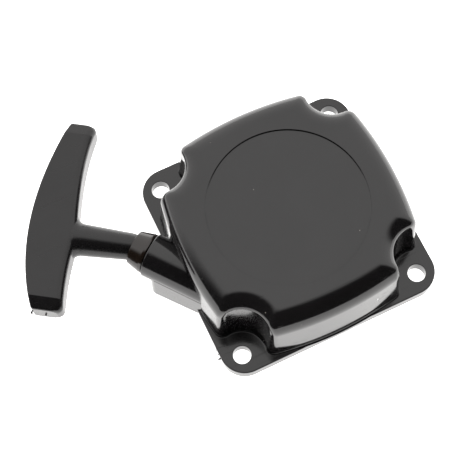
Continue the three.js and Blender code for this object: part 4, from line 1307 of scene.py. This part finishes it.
class MakeStage(bpy.types.Operator):
    """Set the camera, the pale floor and the soft studio light"""
    bl_idname = "starter.stage"
    bl_label = "Stage"
    bl_options = {"REGISTER", "UNDO"}

    def camera(self, scene, s):
        """The camera, aimed at a point on the floor."""
        camera = bpy.data.objects.new("camera", bpy.data.cameras.new("camera"))
        scene.collection.objects.link(camera)
        scene.camera = camera
        camera.data.lens = s.lens
        camera.data.sensor_width = 36
        camera.data.clip_start = 0.01
        flat = math.cos(s.elevation)
        back = Vector((math.sin(s.azimuth) * flat, -math.cos(s.azimuth) * flat, math.sin(s.elevation)))
        aim = (-back).to_track_quat("-Z", "Y").to_matrix().to_4x4()
        target = Vector((s.target_x, s.target_y, 0))
        place = Matrix.Translation(target + s.distance * back)
        camera.matrix_world = place @ aim @ Matrix.Rotation(s.roll, 4, "Z")

    def floor(self, s):
        """The pale floor, just below the mounting face."""
        bm = bmesh.new()
        bmesh.ops.create_grid(bm, x_segments=8, y_segments=8, size=3)
        floor = as_object("floor", moved(bm, 0, 0, -0.2 * MM))
        floor.data.materials.append(floor_material(tuple(s.floor), s.glow))

    def area(self, scene, name, place, size, power, glossy=True):
        """A square soft light at place, aimed at the crank axis."""
        light = bpy.data.lights.new(name, "AREA")
        light.shape = "SQUARE"
        light.size = size
        light.energy = power
        lamp = bpy.data.objects.new(name, light)
        scene.collection.objects.link(lamp)
        lamp.location = place
        lamp.rotation_mode = "QUATERNION"
        lamp.rotation_quaternion = (Vector(place) - CRANK).to_track_quat("Z", "Y")
        lamp.visible_glossy = glossy
        return lamp

    def surroundings(self, scene, s):
        """A white tent open on the camera's side, and a pale background to the camera."""
        world = bpy.data.worlds.new("studio")
        scene.world = world
        world.use_nodes = True
        nodes, links = world.node_tree.nodes, world.node_tree.links
        background = nodes["Background"]
        coordinates = nodes.new("ShaderNodeTexCoord")
        towards = nodes.new("ShaderNodeVectorMath")
        towards.operation = "DOT_PRODUCT"
        towards.inputs[1].default_value = (math.sin(s.azimuth), -math.cos(s.azimuth), 0)
        links.new(coordinates.outputs["Generated"], towards.inputs[0])
        shade = nodes.new("ShaderNodeMapRange")
        shade.interpolation_type = "SMOOTHSTEP"
        for key, value in {"From Min": math.sin(s.tent_end), "From Max": math.sin(s.dark_start),
                           "To Min": s.tent, "To Max": s.dark}.items():
            shade.inputs[key].default_value = value
        links.new(towards.outputs["Value"], shade.inputs["Value"])
        path = nodes.new("ShaderNodeLightPath")
        seen = nodes.new("ShaderNodeMix")
        links.new(path.outputs["Is Camera Ray"], seen.inputs["Factor"])
        links.new(shade.outputs["Result"], seen.inputs["A"])
        seen.inputs["B"].default_value = 1.0
        links.new(seen.outputs["Result"], background.inputs["Strength"])
        background.inputs["Color"].default_value = (1.0, 0.99, 0.98, 1)

    def execute(self, context):
        scene = context.scene
        s = scene.starter_stage
        scene.view_settings.view_transform = "Standard"
        scene.view_settings.look = "None"
        self.camera(scene, s)
        self.floor(s)
        self.surroundings(scene, s)
        self.area(scene, "overhead_bounce", (-0.3, 0.9, 1.2), 1.0, 1.5, glossy=False)
        return {"FINISHED"}


GROUPS = {
    "starter_housing": HousingSizes,
    "starter_handle": HandleSizes,
    "starter_works": WorksSizes,
    "starter_finishes": Finishes,
    "starter_stage": StageSizes,
}
OPERATORS = (MakeStage, MakeFinishes, MakeHousing, MakeGuide, MakeHandle, MakeRope, MakeReel, MakeRatchet,
             MakeFastening, FinishHiddenParts)


class StarterPanel(bpy.types.Panel):
    """Sizes and colours of the starter, and a button for each piece"""
    bl_idname = "VIEW3D_PT_starter"
    bl_label = "Recoil starter"
    bl_space_type = "VIEW_3D"
    bl_region_type = "UI"
    bl_category = "Starter"

    def draw(self, context):
        for operator in OPERATORS:
            self.layout.operator(operator.bl_idname)
        for name, group in GROUPS.items():
            box = self.layout.box()
            for key in group.__annotations__:
                box.prop(getattr(context.scene, name), key)


def register():
    for cls in (*GROUPS.values(), *OPERATORS, StarterPanel):
        bpy.utils.register_class(cls)
    for name, group in GROUPS.items():
        setattr(bpy.types.Scene, name, bpy.props.PointerProperty(type=group))


def unregister():
    for name in GROUPS:
        delattr(bpy.types.Scene, name)
    for cls in reversed((*GROUPS.values(), *OPERATORS, StarterPanel)):
        bpy.utils.unregister_class(cls)


def main():
    register()
    for operator in OPERATORS:
        getattr(bpy.ops.starter, operator.bl_idname.split(".")[1])()


if __name__ == "__main__":
    main()
